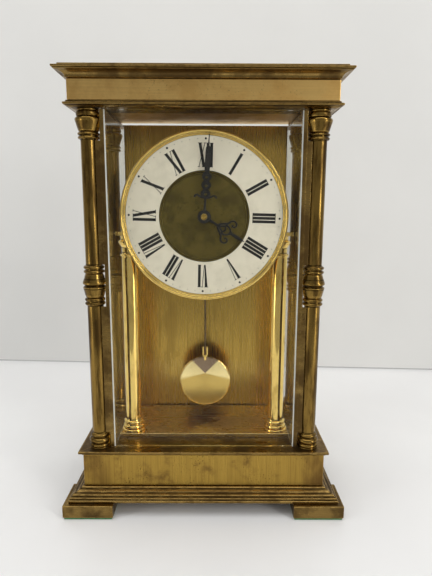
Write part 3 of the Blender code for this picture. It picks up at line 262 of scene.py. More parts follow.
def window_glass(name, bend):
    """Clear glass that lets lamps through to what it covers; bend is its index."""
    f = Finish(name, (0.97, 0.985, 0.97), 0.0)
    f.set("Transmission Weight", 1.0)
    f.set("IOR", bend)
    smear = f.noise((34.0, 34.0, 15.0), 4.0, 0.55)
    f.feed("Roughness", f.between(smear, 0.55, 0.85, 0.0, 0.02))
    clear = f.add("ShaderNodeBsdfTransparent")
    clear.inputs["Color"].default_value = (0.96, 0.98, 0.965, 1.0)
    swap = f.add("ShaderNodeMixShader")
    f.put(swap.inputs["Fac"], f.add("ShaderNodeLightPath").outputs["Is Shadow Ray"])
    f.put(swap.inputs[1], f.shader.outputs["BSDF"])
    f.put(swap.inputs[2], clear.outputs["BSDF"])
    f.surface(swap.outputs["Shader"])
    return f.material


def green_felt(name):
    f = Finish(name, (0.03, 0.17, 0.05), 0.95)
    f.set("Sheen Weight", 0.4)
    nap = f.noise((1700.0, 1700.0, 1700.0), 4.0, 0.7)
    f.feed("Base Color", f.mix(f.between(nap, 0.3, 0.75), (0.015, 0.09, 0.025), (0.06, 0.27, 0.09)))
    f.bump((nap, 0.0003, 0.8))
    return f.material


UP = (1500.0, 1500.0, 22.0)         # brushed upwards
ACROSS = (22.0, 1500.0, 1500.0)     # brushed from side to side
ROUND_IN = (1400.0, 260.0, 1400.0)  # a fine tooth with no direction

FRIEZE = brass("brass_frieze", (0.68, 0.45, 0.155), (0.52, 0.325, 0.105), 0.36, 0.48, 0.50, ACROSS,
               grain_depth=0.12, pits=0.5)
# The plinth's two outer sides carry painted shade.
PLINTH = brass("brass_plinth", (0.44, 0.28, 0.058), (0.18, 0.10, 0.03), 0.30, 0.48, 0.16, UP,
               grain_depth=0.13, pits=0.9, painted_end_shade=0.95)
DOOR = brass("brass_door", (0.54, 0.345, 0.075), (0.41, 0.255, 0.056), 0.26, 0.33, 0.42, UP,
             grain_depth=0.20, pits=0.2, streak=3.0)
MOULD = brass("brass_moulding", (0.28, 0.18, 0.055), (0.105, 0.063, 0.021), 0.24, 0.44, 0.60, ACROSS,
              grain_depth=0.10, pits=0.6)
TURNED = brass("brass_column", (0.25, 0.155, 0.038), (0.07, 0.04, 0.011), 0.19, 0.36, 0.54,
               pits=0.4, streak=8.0, patch=190.0)
POLISHED = brass("brass_polished", (0.86, 0.60, 0.18), (0.54, 0.345, 0.078), 0.07, 0.22, 0.26,
                 pits=0.15, streak=3.0, patch=110.0)
PLATFORM = brass("brass_platform", (0.74, 0.56, 0.23), (0.50, 0.36, 0.14), 0.22, 0.38, 0.4, ACROSS,
                 grain_depth=0.10, pits=0.2)
DIAL_BRASS = brass("brass_dial", (0.15, 0.112, 0.028), (0.078, 0.058, 0.016), 0.42, 0.58, 0.5, ROUND_IN,
                   grain_depth=0.05, pits=0.7)
WORKS = brass("brass_works", (0.76, 0.54, 0.17), (0.50, 0.34, 0.10), 0.20, 0.34, 0.3, UP,
              grain_depth=0.06, pits=0.1)
BOB_LOW, BOB_HIGH = (Vector(corner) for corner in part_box("pendulum_bob"))
# The bob's wedge colours are painted reflection: dark top, bright sides, golden foot.
SPUN_PAINTED_REFLECTION = spun_brass_painted_wedges("brass_spun_painted_reflection", (BOB_LOW + BOB_HIGH) / 2, (0.33, 0.225, 0.15), (1.0, 0.80, 0.38),
                  (0.66, 0.45, 0.125))
SILVERED = plain_metal("silvered_ring", (0.74, 0.67, 0.545), (0.61, 0.55, 0.44), 0.42, 0.52, 0.55)
BLACKED = plain_metal("black_lacquer", (0.012, 0.011, 0.010), (0.020, 0.017, 0.014), 0.34, 0.48, 0.0,
                      gloss=0.18)
STEEL = plain_metal("polished_steel", (0.56, 0.56, 0.57), (0.40, 0.39, 0.38), 0.20, 0.34)
DARK_STEEL = plain_metal("dark_steel", (0.15, 0.105, 0.06), (0.08, 0.055, 0.03), 0.26, 0.38)
GLASS_EDGE = plain_metal("ground_glass_edge", (0.86, 0.89, 0.85), (0.78, 0.82, 0.77), 0.5, 0.6, 0.0)
GLASS = window_glass("pane_glass", 1.2)
SIDE_GLASS = window_glass("side_pane_glass", 1.14)
FELT = green_felt("green_felt")


# ---------------------------------------------------------------- making pieces
def piece(name, bm, finish, stands_for=None, body="case"):
    """Make a mesh a piece: give it its finish and say what it rides on and replaces."""
    bmesh.ops.recalc_face_normals(bm, faces=bm.faces)
    mesh = bpy.data.meshes.new(name)
    bm.to_mesh(mesh)
    bm.free()
    mesh.shade_smooth()
    mesh.set_sharp_from_angle(angle=math.radians(SHARP))
    mesh.materials.append(finish)
    obj = bpy.data.objects.new(name, mesh)
    bpy.context.collection.objects.link(obj)
    even_normals(obj)
    settle(obj, stands_for, body)


def even_normals(obj):
    """Let each large flat face keep its own normal, so only the eased edges shade round."""
    step = obj.modifiers.new("even normals", "WEIGHTED_NORMAL")
    step.keep_sharp = True
    graph = bpy.context.evaluated_depsgraph_get()
    made = bpy.data.meshes.new_from_object(obj.evaluated_get(graph))
    obj.modifiers.clear()
    rough = obj.data
    obj.data = made
    bpy.data.meshes.remove(rough)
    made.name = obj.name


def settle(obj, stands_for=None, body="case"):
    """Say which body a piece rides on and which node it replaces."""
    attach(obj, body)
    if stands_for:
        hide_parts(stands_for)


def eased(points, size, closed=True):
    """Round an outline's corners; points out are (across, up, mark).

    The outline keeps metal on its left. Outward corners get a rubbing mark of 1 and inward corners a
    darkening mark of -1, and both fade out a little way along the next side.
    """
    out = []
    count = len(points)
    for i, point in enumerate(points):
        here = Vector(point[:2])
        ease = point[2] if len(point) > 2 else size
        back = Vector(points[i - 1][:2]) - here
        ahead = Vector(points[(i + 1) % count][:2]) - here
        turn = back.normalized().cross(ahead.normalized())
        if (not closed and i in (0, count - 1)) or abs(turn) < NEARLY_STRAIGHT or ease <= 0:
            out.append((here.x, here.y, 0.0))
            continue
        trim = min(ease, back.length * 0.45, ahead.length * 0.45)
        near, far = back.normalized(), ahead.normalized()
        wear_and_darkening = 1.0 if turn < 0 else -1.0
        if back.length > trim * 5:
            out.append((*(here + near * trim * 2.2), 0.0))
        for s in range(EASE_STEPS + 1):
            share = s / EASE_STEPS
            first = (here + near * trim).lerp(here, share)
            second = here.lerp(here + far * trim, share)
            mark = wear_and_darkening * (1.0 - abs(share - 0.5) * 0.8)
            out.append((*first.lerp(second, share), mark))
        if ahead.length > trim * 5:
            out.append((*(here + far * trim * 2.2), 0.0))
    return out


def bead(radius, low, high, proud, count=7):
    """A half-round ring on a turned piece, from low to high, standing out from radius."""
    middle, half = (low + high) / 2, (high - low) / 2
    points = []
    for i in range(count):
        angle = math.radians(-90 + 180 * i / (count - 1))
        points.append((radius + proud * math.cos(angle), middle + half * math.sin(angle), 0.0))
    return points


def smooth_profile(rows, ease):
    """Join plain points, eased, with ready-made beads, given as lists, on an open profile."""
    flat = []
    for row in rows:
        if isinstance(row, list):
            flat += row
        else:
            flat.append(row if len(row) > 2 else (*row, ease))
    return eased(flat, ease, closed=False)


def turned(profile, centre, axis="Z", steps=72, closed=False):
    """Spin (radius, height, mark) about an axis through centre; the mark is rubbing above nought and
    darkening below.
    """
    bm = bmesh.new()
    wear_and_darkening = bm.verts.layers.float.new("wear_and_darkening")
    rings = []
    for radius, height, mark in profile:
        count = 1 if radius < AXIS_TOUCH else steps
        ring = []
        for i in range(count):
            angle = math.tau * i / steps
            x, y = (0.0, 0.0) if count == 1 else (radius * math.cos(angle), radius * math.sin(angle))
            vert = bm.verts.new((x, height, y) if axis == "Y" else (x, y, height))
            vert[wear_and_darkening] = mark
            ring.append(vert)
        rings.append(ring)
    pairs = list(zip(rings, rings[1:]))
    if closed:
        pairs.append((rings[-1], rings[0]))
    for low, high in pairs:
        if len(low) == 1 and len(high) == 1:
            continue
        for i in range(steps):
            j = (i + 1) % steps
            corners = []
            for vert in (low[i % len(low)], low[j % len(low)], high[j % len(high)], high[i % len(high)]):
                if vert not in corners:
                    corners.append(vert)
            bm.faces.new(corners)
    bmesh.ops.translate(bm, verts=bm.verts, vec=centre)
    return bm


def moulded(section, half_w, half_d, centre=(0.0, 0.0), ease=0.0005, hollow=False, open_back=None):
    """Carry a section of (outward, height, mark) round a rectangle with eased corners; the mark is rubbing
    above nought and darkening below.

    A solid slab is capped at both ends of the section; a hollow one has a closed section.
    open_back stops both side runs at that depth and leaves the rear open.
    """
    corners = [(-1, -1), (1, -1), (1, 1), (-1, 1)]
    if open_back is not None:
        corners = [(-1, -1), (1, -1)]
    stations = []
    for sx, sy in corners:
        x, y = sx * half_w, sy * half_d
        first = (x, y - sy * ease, 0.0) if sx * sy > 0 else (x - sx * ease, y, 0.0)
        last = (x - sx * ease, y, 0.0) if sx * sy > 0 else (x, y - sy * ease, 0.0)
        middle = (x - sx * ease * 0.29, y - sy * ease * 0.29, 0.85)
        stations += [(*p, sx, sy) for p in (first, middle, last)]
    if open_back is not None:
        stations.insert(0, (-half_w, open_back, 0.0, -1, 0))
        stations.append((half_w, open_back, 0.0, 1, 0))
    bm = bmesh.new()
    wear_and_darkening = bm.verts.layers.float.new("wear_and_darkening")
    loops = []
    for x, y, mark, dx, dy in stations:
        loop = []
        for out, z, own in section:
            vert = bm.verts.new((centre[0] + x + out * dx, centre[1] + y + out * dy, z))
            vert[wear_and_darkening] = max(own, mark) if own >= 0 else own
            loop.append(vert)
        loops.append(loop)
    pairs = list(zip(loops, loops[1:]))
    if open_back is None:
        pairs.append((loops[-1], loops[0]))
    count = len(section)
    for near, far in pairs:
        for i in range(count if hollow else count - 1):
            j = (i + 1) % count
            bm.faces.new((near[i], far[i], far[j], near[j]))
    if open_back is not None:
        bm.faces.new(loops[0])
        bm.faces.new(loops[-1])
    elif not hollow:
        bm.faces.new([loop[0] for loop in loops])
        bm.faces.new([loop[-1] for loop in loops])
    return bm


def slab(low, high, ease, corner=None):
    """A block with eased edges between two corners."""
    half_w, half_d = (high[0] - low[0]) / 2, (high[1] - low[1]) / 2
    centre = ((high[0] + low[0]) / 2, (high[1] + low[1]) / 2)
    inset = min(ease * 3, half_w * 0.4, half_d * 0.4)
    side = [(-inset, low[2], 0), (0.0, low[2]), (0.0, high[2]), (-inset, high[2], 0)]
    return moulded(eased(side, ease, closed=False), half_w, half_d, centre, corner or ease)


def refined(node, ease):
    """A copy of a CAD node with its loose triangles joined and its edges eased."""
    bm = bmesh.new()
    bm.from_mesh(nodes[node].data)
    bmesh.ops.remove_doubles(bm, verts=bm.verts, dist=2e-6)
    bmesh.ops.dissolve_limit(bm, angle_limit=math.radians(0.5), verts=bm.verts, edges=bm.edges)
    least = math.radians(28)
    edges = [e for e in bm.edges if len(e.link_faces) == 2 and e.calc_face_angle(0.0) > least]
    bmesh.ops.bevel(bm, geom=edges, offset=ease, segments=2, profile=0.5, affect="EDGES",
                    clamp_overlap=True)
    bmesh.ops.dissolve_degenerate(bm, edges=bm.edges, dist=1e-8)
    return bm


def box(node):
    low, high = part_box(node)
    return Vector(low), Vector(high)


def middle_of(node):
    low, high = box(node)
    return (low + high) / 2


def joint_place(name):
    return Vector(next(joint for joint in frame["joints"] if joint["name"] == name)["pos_m"])


# ---------------------------------------------------------------- case
def make_feet():
    for end, side in CORNERS:
        foot, pad = f"foot_{end}_{side}", f"felt_pad_{end}_{side}"
        piece(f"{foot}_block", slab(*box(foot), 0.0007), MOULD, foot)
        piece(f"{pad}_cloth", slab(*box(pad), 0.0003, 0.0008), FELT, pad)


def make_base():
    low, high = box("base_moulding")
    z, top = low.z, high.z
    plinth_low, plinth_high = box("plinth_box")
    half_w, half_d = plinth_high.x, plinth_high.y
    out = high.x - half_w
    inner = -0.0080
    points = [(inner, z, 0), (out, z), (out, z + 0.0017), (out - 0.0009, z + 0.0020),
              (out - 0.0007, z + 0.0036), (out - 0.0022, z + 0.0040), (out - 0.0026, z + 0.0052),
              (0.0056, z + 0.0058), (0.0040, z + 0.0066), (0.0022, z + 0.0072), (0.0019, top - 0.0004),
              (0.0012, top), (inner, top, 0)]
    run = moulded(eased(points, 0.0004), half_w, half_d, ease=CORNER_EASE, hollow=True)
    piece("base_moulding_run", run, MOULD, "base_moulding")

    wall = 0.0030
    z, top = plinth_low.z, plinth_high.z
    points = [(-wall, z, 0), (0.0, z), (0.0, top), (-wall, top, 0)]
    walls = moulded(eased(points, 0.0004), half_w, half_d, ease=CORNER_EASE, hollow=True)
    piece("plinth_walls", walls, PLINTH, "plinth_box")

    low, high = box("base_plate")
    out = high.x - half_w
    points = [(-0.004, low.z, 0), (0.0008, low.z), (0.0014, low.z + 0.0012), (out, low.z + 0.0017),
              (out, high.z - 0.0001, 0.0005), (out - 0.0008, high.z), (-0.004, high.z, 0)]
    plate = moulded(eased(points, 0.0003, closed=False), half_w, half_d, ease=CORNER_EASE)
    piece("base_plate_slab", plate, MOULD, "base_plate")
    piece("platform_slab", slab(*box("inner_platform"), 0.0004), PLATFORM, "inner_platform")


SHAFT = 0.0059
DOWEL = 0.0026          # bore of a column, for its tie rod
FOOT_RING = 0.0086
CAPITAL_RING = 0.0094


def lower_column(b, t):
    """Base torus, shaft and the lower half of the collar, from height b up to t."""
    grip = SHAFT + 0.0002       # where a ring sits on the shaft
    rows = [(DOWEL, b, 0), (FOOT_RING - 0.0006, b),
            bead(FOOT_RING - 0.0010, b + 0.0004, b + 0.0030, 0.0006),
            (FOOT_RING - 0.0014, b + 0.0033),
            bead(FOOT_RING - 0.0020, b + 0.0034, b + 0.0078, 0.0018, 9),
            (SHAFT + 0.0003, b + 0.0083), bead(grip, b + 0.0087, b + 0.0112, 0.0013),
            (SHAFT, b + 0.0122), (SHAFT, t - 0.0152),
            bead(grip, t - 0.0147, t - 0.0121, 0.0014), bead(grip, t - 0.0117, t - 0.0091, 0.0014),
            (SHAFT + 0.0007, t - 0.0084), (SHAFT + 0.0012, t - 0.0070), (FOOT_RING - 0.0004, t - 0.0022),
            (FOOT_RING - 0.0001, t - 0.0012), (SHAFT + 0.0018, t - 0.0006), (SHAFT + 0.0014, t),
            (DOWEL, t, 0)]
    return smooth_profile(rows, 0.0003)


def upper_column(b, t):
    """The upper half of the collar, shaft and capital, from height b up to t."""
    grip = SHAFT + 0.0002
    neck = CAPITAL_RING - 0.0018
    rows = [(DOWEL, b, 0), (SHAFT + 0.0014, b), (SHAFT + 0.0018, b + 0.0005), (FOOT_RING, b + 0.0012),
            (FOOT_RING, b + 0.0024), (FOOT_RING - 0.0010, b + 0.0048), (SHAFT + 0.0009, b + 0.0078),
            (SHAFT + 0.0006, b + 0.0086), bead(grip, b + 0.0090, b + 0.0116, 0.0015),
            bead(grip, b + 0.0121, b + 0.0148, 0.0015), (SHAFT, b + 0.0156), (SHAFT, t - 0.0208),
            bead(grip, t - 0.0202, t - 0.0180, 0.0016), bead(grip, t - 0.0176, t - 0.0154, 0.0018),
            (SHAFT + 0.0008, t - 0.0150), (SHAFT + 0.0012, t - 0.0144),
            (CAPITAL_RING - 0.0003, t - 0.0080), (CAPITAL_RING, t - 0.0068),
            (CAPITAL_RING - 0.0004, t - 0.0058), (neck, t - 0.0054),
            bead(CAPITAL_RING - 0.0022, t - 0.0052, t - 0.0012, 0.0012, 9), (neck, t - 0.0008),
            (neck, t), (DOWEL, t, 0)]
    return smooth_profile(rows, 0.0003)


def make_columns():
    for end, side in CORNERS:
        for part, shape in (("lower", lower_column), ("upper", upper_column)):
            name = f"column_{part}_{end}_{side}"
            low, high = box(name)
            centre = ((low.x + high.x) / 2, (low.y + high.y) / 2, 0.0)
            column = turned(shape(low.z, high.z), centre, steps=64, closed=True)
            piece(f"{name}_turning", column, TURNED, name)


def make_top():
    frieze_low, frieze_high = box("frieze_box")
    half_w, half_d = frieze_high.x, frieze_high.y
    low, high = box("architrave")
    z, out = low.z, high.x - half_w
    inner = -0.0208
    points = [(inner, z, 0), (-0.0018, z), (-0.0004, z + 0.0004), (0.0010, z + 0.0010), (out, z + 0.0014),
              (out, z + 0.0026), (0.0014, z + 0.0030), (0.0008, z + 0.0034), (0.0008, high.z),
              (inner, high.z, 0)]
    run = moulded(eased(points, 0.0003), half_w, half_d, ease=CORNER_EASE, hollow=True, open_back=high.y)
    piece("architrave_run", run, MOULD, "architrave")
    piece("frieze_block", slab(frieze_low, frieze_high, 0.0005, 0.0008), FRIEZE, "frieze_box")

    low, high = box("cornice")
    z, top, out = low.z, high.z, high.x - half_w
    cap = 0.0044
    cove = [(0.0006 + 0.0052 * (1 - math.cos(a)), z + 0.0006 + 0.0036 * math.sin(a), 0.0)
            for a in (math.radians(degrees) for degrees in range(0, 91, 15))]
    rows = [(-0.004, z, 0), (-0.0004, z), (0.0003, z + 0.0004), cove, (out - 0.0010, z + 0.0044),
            (out - 0.0010, z + 0.0050), (out, z + 0.0054), (out, z + 0.0066), (cap + 0.0004, z + 0.0069),
            (cap, z + 0.0071), (cap, top), (-0.004, top, 0)]
    cornice = moulded(smooth_profile(rows, 0.0003), half_w, half_d, ease=CORNER_EASE)
    piece("cornice_slab", cornice, MOULD, "cornice")


def make_glass():
    """Three panes; each side pane has a ground edge in front and a brass strip beside it."""
    piece("pane_front", slab(*box("glass_front"), 0.0003, 0.0004), GLASS, "glass_front")
    edge, gap = 0.0004, 0.00005
    for side, out in (("left", -1), ("right", 1)):
        low, high = box(f"glass_{side}")
        front = low.y + edge
        pane = slab((low.x, front, low.z), high, 0.0003, 0.0004)
        piece(f"pane_{side}", pane, SIDE_GLASS, f"glass_{side}")
        piece(f"pane_edge_{side}", slab(low, (high.x, front - gap, high.z), 0.0001), GLASS_EDGE)
        make_corner_strip(side, out, min(abs(low.x), abs(high.x)) + 0.0008, low.y - gap)


def make_corner_strip(side, out, inner, back):
    """A brass strip that closes the gap from a side pane to its front column.

    It's wide beside the shafts and narrower past the foot, the collar and the capital.
    """
    foot, joint = (corner.z for corner in box(f"column_lower_front_{side}"))
    head = box(f"column_upper_front_{side}")[1].z
    narrow, wide, lap = 0.0729, 0.0766, 0.0002
    lengths = [(inner, narrow, foot + lap, head - lap, 0.0010),
               (narrow - lap, wide, foot + 0.0125, joint - 0.0155, 0.0009),
               (narrow - lap, wide, joint + 0.0160, head - 0.0212, 0.0009)]
    bm = bmesh.new()
    bm.verts.layers.float.new("wear_and_darkening")
    for near, far, z0, z1, thick in lengths:
        x0, x1 = sorted((out * near, out * far))
        join(bm, slab((x0, back - thick, z0), (x1, back, z1), 0.0002))
    piece(f"corner_strip_{side}", bm, MOULD)


def make_rear_door():
    low, high = box("rear_door")
    hinge = joint_place("rear_door_hinge")
    pin = 0.0006
    panel_low = Vector((low.x, low.y, low.z + 0.0022))
    panel_high = Vector((high.x, high.y, high.z - 0.0039))
    door = slab(panel_low, panel_high, 0.0004)
    for start, end in ((low.z, panel_low.z + 0.001), (panel_high.z - 0.001, high.z)):
        rows = eased([(0, start, 0), (pin, start), (pin, end), (0, end, 0)], 0.0001, closed=False)
        join(door, turned(rows, (hinge.x, hinge.y, 0.0), steps=16))
    piece("rear_door_panel", door, DOOR, "rear_door", "rear_door")

    low, high = box("door_knob")
    radius, y0, y1 = (high.x - low.x) / 2, low.y, high.y
    rows = [(0, y0, 0), (radius * 0.72, y0), (radius * 0.72, y0 + 0.0006), (radius * 0.42, y0 + 0.0012),
            (radius * 0.40, y0 + 0.0026), (radius * 0.94, y0 + 0.0036), (radius * 0.94, y1 - 0.0013, 0.0008),
            (radius * 0.62, y1 - 0.0002), (0, y1, 0)]
    centre = middle_of("door_knob")
    knob = turned(smooth_profile(rows, 0.0003), (centre.x, 0.0, centre.z), "Y", 48)
    piece("door_knob_turning", knob, POLISHED, "door_knob", "rear_door")
    place = (centre.x, (y0 + 0.0037 + y1 - 0.0014) / 2, centre.z)
    ribs("door_knob_knurl", place, 36, radius * 0.94, 0.00026, y1 - y0 - 0.0054, "rear_door")


def join(bm, other):
    """Add one mesh under construction to another and free it."""
    mesh = bpy.data.meshes.new("part")
    other.to_mesh(mesh)
    other.free()
    bm.from_mesh(mesh)
    bpy.data.meshes.remove(mesh)


# ---------------------------------------------------------------- trees for what repeats
class Tree:
    """A geometry node tree with named inputs."""

    def __init__(self, name):
        self.group = bpy.data.node_groups.new(name, "GeometryNodeTree")
        self.group.interface.new_socket("Geometry", in_out="INPUT", socket_type="NodeSocketGeometry")
        self.group.interface.new_socket("Geometry", in_out="OUTPUT", socket_type="NodeSocketGeometry")
        self.entry = self.group.nodes.new("NodeGroupInput")
        self.exit = self.group.nodes.new("NodeGroupOutput")
        self.keys = {}

    def ask(self, name, kind="Float"):
        made = self.group.interface.new_socket(name, in_out="INPUT", socket_type=f"NodeSocket{kind}")
        self.keys[name] = made.identifier
        return self.entry.outputs[name]

    def add(self, kind, inputs=(), **settings):
        node = self.group.nodes.new(kind)
        for key, value in settings.items():
            setattr(node, key, value)
        for socket, value in dict(inputs).items():
            target = node.inputs[socket]
            if isinstance(value, bpy.types.NodeSocket):
                self.group.links.new(value, target)
            else:
                target.default_value = value
        return node

    def number(self, operation, first, second=0.0):
        return self.add("ShaderNodeMath", {0: first, 1: second}, operation=operation).outputs[0]

    def end(self, geometry, finish_key):
        whole = self.add("GeometryNodeRealizeInstances", {"Geometry": geometry}).outputs[0]
        coated = self.add("GeometryNodeSetMaterial", {"Geometry": whole, "Material": finish_key}).outputs[0]
        self.group.links.new(coated, self.exit.inputs[0])

    def grow(self, name, values, points=(), smooth=True):
        """Run the tree on a few points and keep the result as a plain mesh object."""
        mesh = bpy.data.meshes.new(name)
        mesh.from_pydata([tuple(p) for p in points], [], [])
        seed = bpy.data.objects.new(name + "_seed", mesh)
        bpy.context.collection.objects.link(seed)
        modifier = seed.modifiers.new("tree", "NODES")
        modifier.node_group = self.group
        for key, value in values.items():
            modifier[self.keys[key]] = value
        bpy.context.view_layer.update()
        result = bpy.data.meshes.new_from_object(seed.evaluated_get(bpy.context.evaluated_depsgraph_get()))
        seed.modifiers.remove(modifier)
        bpy.data.objects.remove(seed)
        result.name = name
        if smooth:
            result.shade_smooth()
            result.set_sharp_from_angle(angle=math.radians(35))
        obj = bpy.data.objects.new(name, result)
        bpy.context.collection.objects.link(obj)
        return obj


def ring_tree():
    """Small discs or ribs standing along +Y, evenly round a circle; every so many is larger."""
    t = Tree("ring of small pieces")
    count, radius = t.ask("Count", "Int"), t.ask("Radius")
    size, height = t.ask("Size"), t.ask("Height")
    every, larger = t.ask("Every", "Int"), t.ask("Larger")
    turn, finish = t.ask("Turn", "Vector"), t.ask("Finish", "Material")
    place = t.ask("Place", "Vector")
    circle = t.add("GeometryNodeMeshCircle", {"Vertices": count, "Radius": radius}).outputs[0]
    disc = t.add("GeometryNodeMeshCylinder", {"Vertices": 12, "Radius": size,
                                              "Depth": height}).outputs["Mesh"]
    index = t.add("GeometryNodeInputIndex").outputs[0]
    rest = t.number("MODULO", index, every)
    big = t.number("LESS_THAN", rest, 0.5)
    scale = t.number("ADD", 1.0, t.number("MULTIPLY", big, t.number("SUBTRACT", larger, 1.0)))
    thick = t.add("ShaderNodeCombineXYZ", {0: scale, 1: scale, 2: 1.0}).outputs[0]
    spread = t.add("GeometryNodeInstanceOnPoints", {"Points": circle, "Instance": disc,
                                                    "Scale": thick}).outputs[0]
    stood = t.add("GeometryNodeTransform", {"Geometry": spread, "Rotation": turn,
                                            "Translation": place}).outputs[0]
    t.end(stood, finish)
    return t


def screw_tree():
    """Slotted cheese-head screws on points, heads facing +Y, each turned at random."""
    t = Tree("slotted screws")
    radius, height = t.ask("Head Radius"), t.ask("Head Height")
    slot, seed = t.ask("Slot Width"), t.ask("Seed", "Int")
    facing, finish = t.ask("Facing", "Vector"), t.ask("Finish", "Material")
    head = t.add("GeometryNodeMeshCylinder", {"Vertices": 32, "Side Segments": 5, "Radius": radius,
                                              "Depth": height}).outputs["Mesh"]
    place = t.add("GeometryNodeInputPosition").outputs[0]
    split = t.add("ShaderNodeSeparateXYZ", {0: place})
    share = t.number("MAXIMUM", t.number("DIVIDE", split.outputs[2], t.number("MULTIPLY", height, 0.5)), 0.0)
    pull = t.number("SUBTRACT", 1.0, t.number("MULTIPLY", t.number("POWER", share, 4.0), 0.16))
    moved = t.add("ShaderNodeCombineXYZ", {0: t.number("MULTIPLY", split.outputs[0], pull),
                                           1: t.number("MULTIPLY", split.outputs[1], pull),
                                           2: split.outputs[2]}).outputs[0]
    domed = t.add("GeometryNodeSetPosition", {"Geometry": head, "Position": moved}).outputs[0]
    across = t.number("MULTIPLY", radius, 2.4)
    size = t.add("ShaderNodeCombineXYZ", {0: slot, 1: across, 2: height}).outputs[0]
    cutter = t.add("GeometryNodeMeshCube", {"Size": size}).outputs["Mesh"]
    up = t.add("ShaderNodeCombineXYZ", {0: 0.0, 1: 0.0, 2: t.number("MULTIPLY", height, 0.62)}).outputs[0]
    raised = t.add("GeometryNodeTransform", {"Geometry": cutter, "Translation": up}).outputs[0]
    cut = t.add("GeometryNodeMeshBoolean", {"Mesh 1": domed, "Mesh 2": raised},
                operation="DIFFERENCE").outputs[0]
    spin = t.add("FunctionNodeRandomValue", {"Seed": seed}, data_type="FLOAT")
    spin.inputs[2].default_value = 0.0
    spin.inputs[3].default_value = math.pi
    about = t.add("ShaderNodeCombineXYZ", {0: 0.0, 1: 0.0, 2: spin.outputs[1]}).outputs[0]
    face = t.add("FunctionNodeEulerToRotation", {0: facing}).outputs[0]
    twist = t.add("FunctionNodeEulerToRotation", {0: about}).outputs[0]
    both = t.add("FunctionNodeRotateRotation", {0: face, 1: twist}, rotation_space="LOCAL").outputs[0]
    heads = t.add("GeometryNodeInstanceOnPoints", {"Points": t.entry.outputs[0], "Instance": cut,
                                                   "Rotation": both}).outputs[0]
    t.end(heads, finish)
    return t


def coil_tree():
    """A flat strip wound in a spiral round +Y."""
    t = Tree("coiled spring")
    turns, inner, outer = t.ask("Turns"), t.ask("Inner"), t.ask("Outer")
    width, thick = t.ask("Width"), t.ask("Thickness")
    place, finish = t.ask("Place", "Vector"), t.ask("Finish", "Material")
    line = t.add("GeometryNodeCurveSpiral", {"Resolution": 40, "Rotations": turns, "Start Radius": inner,
                                             "End Radius": outer, "Height": 0.0}).outputs[0]
    strip = t.add("GeometryNodeCurvePrimitiveQuadrilateral", {"Width": thick, "Height": width}).outputs[0]
    swept = t.add("GeometryNodeCurveToMesh", {"Curve": line, "Profile Curve": strip,
                                              "Fill Caps": True}).outputs[0]
    stood = t.add("GeometryNodeTransform", {"Geometry": swept, "Rotation": (math.pi / 2, 0.0, 0.0),
                                            "Translation": place}).outputs[0]
    t.end(stood, finish)
    return t


RINGS = ring_tree()
SCREWS = screw_tree()
COILS = coil_tree()


def ribs(name, place, count, radius, size, length, body):
    """Knurling round a knob that faces +Y."""
    made = RINGS.grow(name, {"Count": count, "Radius": radius, "Size": size, "Height": length, "Every": 1,
                             "Larger": 1.0, "Turn": (math.pi / 2, 0.0, 0.0), "Place": place,
                             "Finish": POLISHED})
    settle(made, body=body)


def screws(name, points, radius, height, backwards=True):
    """Steel screw heads at points, facing the rear, or the front when backwards is False."""
    turn = -math.pi / 2 if backwards else math.pi / 2
    made = SCREWS.grow(name, {"Head Radius": radius, "Head Height": height, "Slot Width": radius * 0.28,
                              "Seed": 7, "Facing": (turn, 0.0, 0.0), "Finish": STEEL}, points)
    settle(made)


# ---------------------------------------------------------------- pillars and dial
def make_pillars():
    r, foot, head = 0.0063, 0.0093, 0.0085
    for side in ("left", "right"):
        name = f"inner_pillar_{side}"
        low, high = box(name)
        b, t = low.z, high.z
        rows = [(0, b, 0), (foot, b), (foot, b + 0.0014), (foot - 0.0007, b + 0.0018),
                bead(foot - 0.0022, b + 0.0019, b + 0.0050, 0.0016), (r + 0.0004, b + 0.0056),
                bead(r + 0.0004, b + 0.0060, b + 0.0088, 0.0014), (r, b + 0.0098), (r, t - 0.0166),
                bead(r - 0.0001, t - 0.0162, t - 0.0140, 0.0013), (r - 0.0004, t - 0.0130),
                (r - 0.0003, t - 0.0092), (head - 0.0006, t - 0.0064),
                bead(head - 0.0010, t - 0.0062, t - 0.0034, 0.0010), (r + 0.0004, t - 0.0028),
                (r + 0.0006, t), (0, t, 0)]
        centre = ((low.x + high.x) / 2, (low.y + high.y) / 2, 0.0)
        piece(f"{name}_turning", turned(smooth_profile(rows, 0.0003), centre, steps=64), POLISHED, name)
    piece("movement_bar_cast", refined("movement_bar", 0.0003), POLISHED, "movement_bar")


dial_low, dial_high = box("bezel")
DIAL = Vector(((dial_low.x + dial_high.x) / 2, 0.0, (dial_low.z + dial_high.z) / 2))
DIAL_R = (dial_high.x - dial_low.x) / 2
ring_low, ring_high = box("chapter_ring")
RING_FACE = ring_low.y
RING_OUT = (ring_high.x - ring_low.x) / 2
RING_IN = RING_OUT - 0.0251 + 0.0003


def on_dial(profile, steps, closed=False):
    """Turn a profile of (radius, depth) about the dial's axis."""
    return turned(profile, (DIAL.x, 0, DIAL.z), "Y", steps, closed)


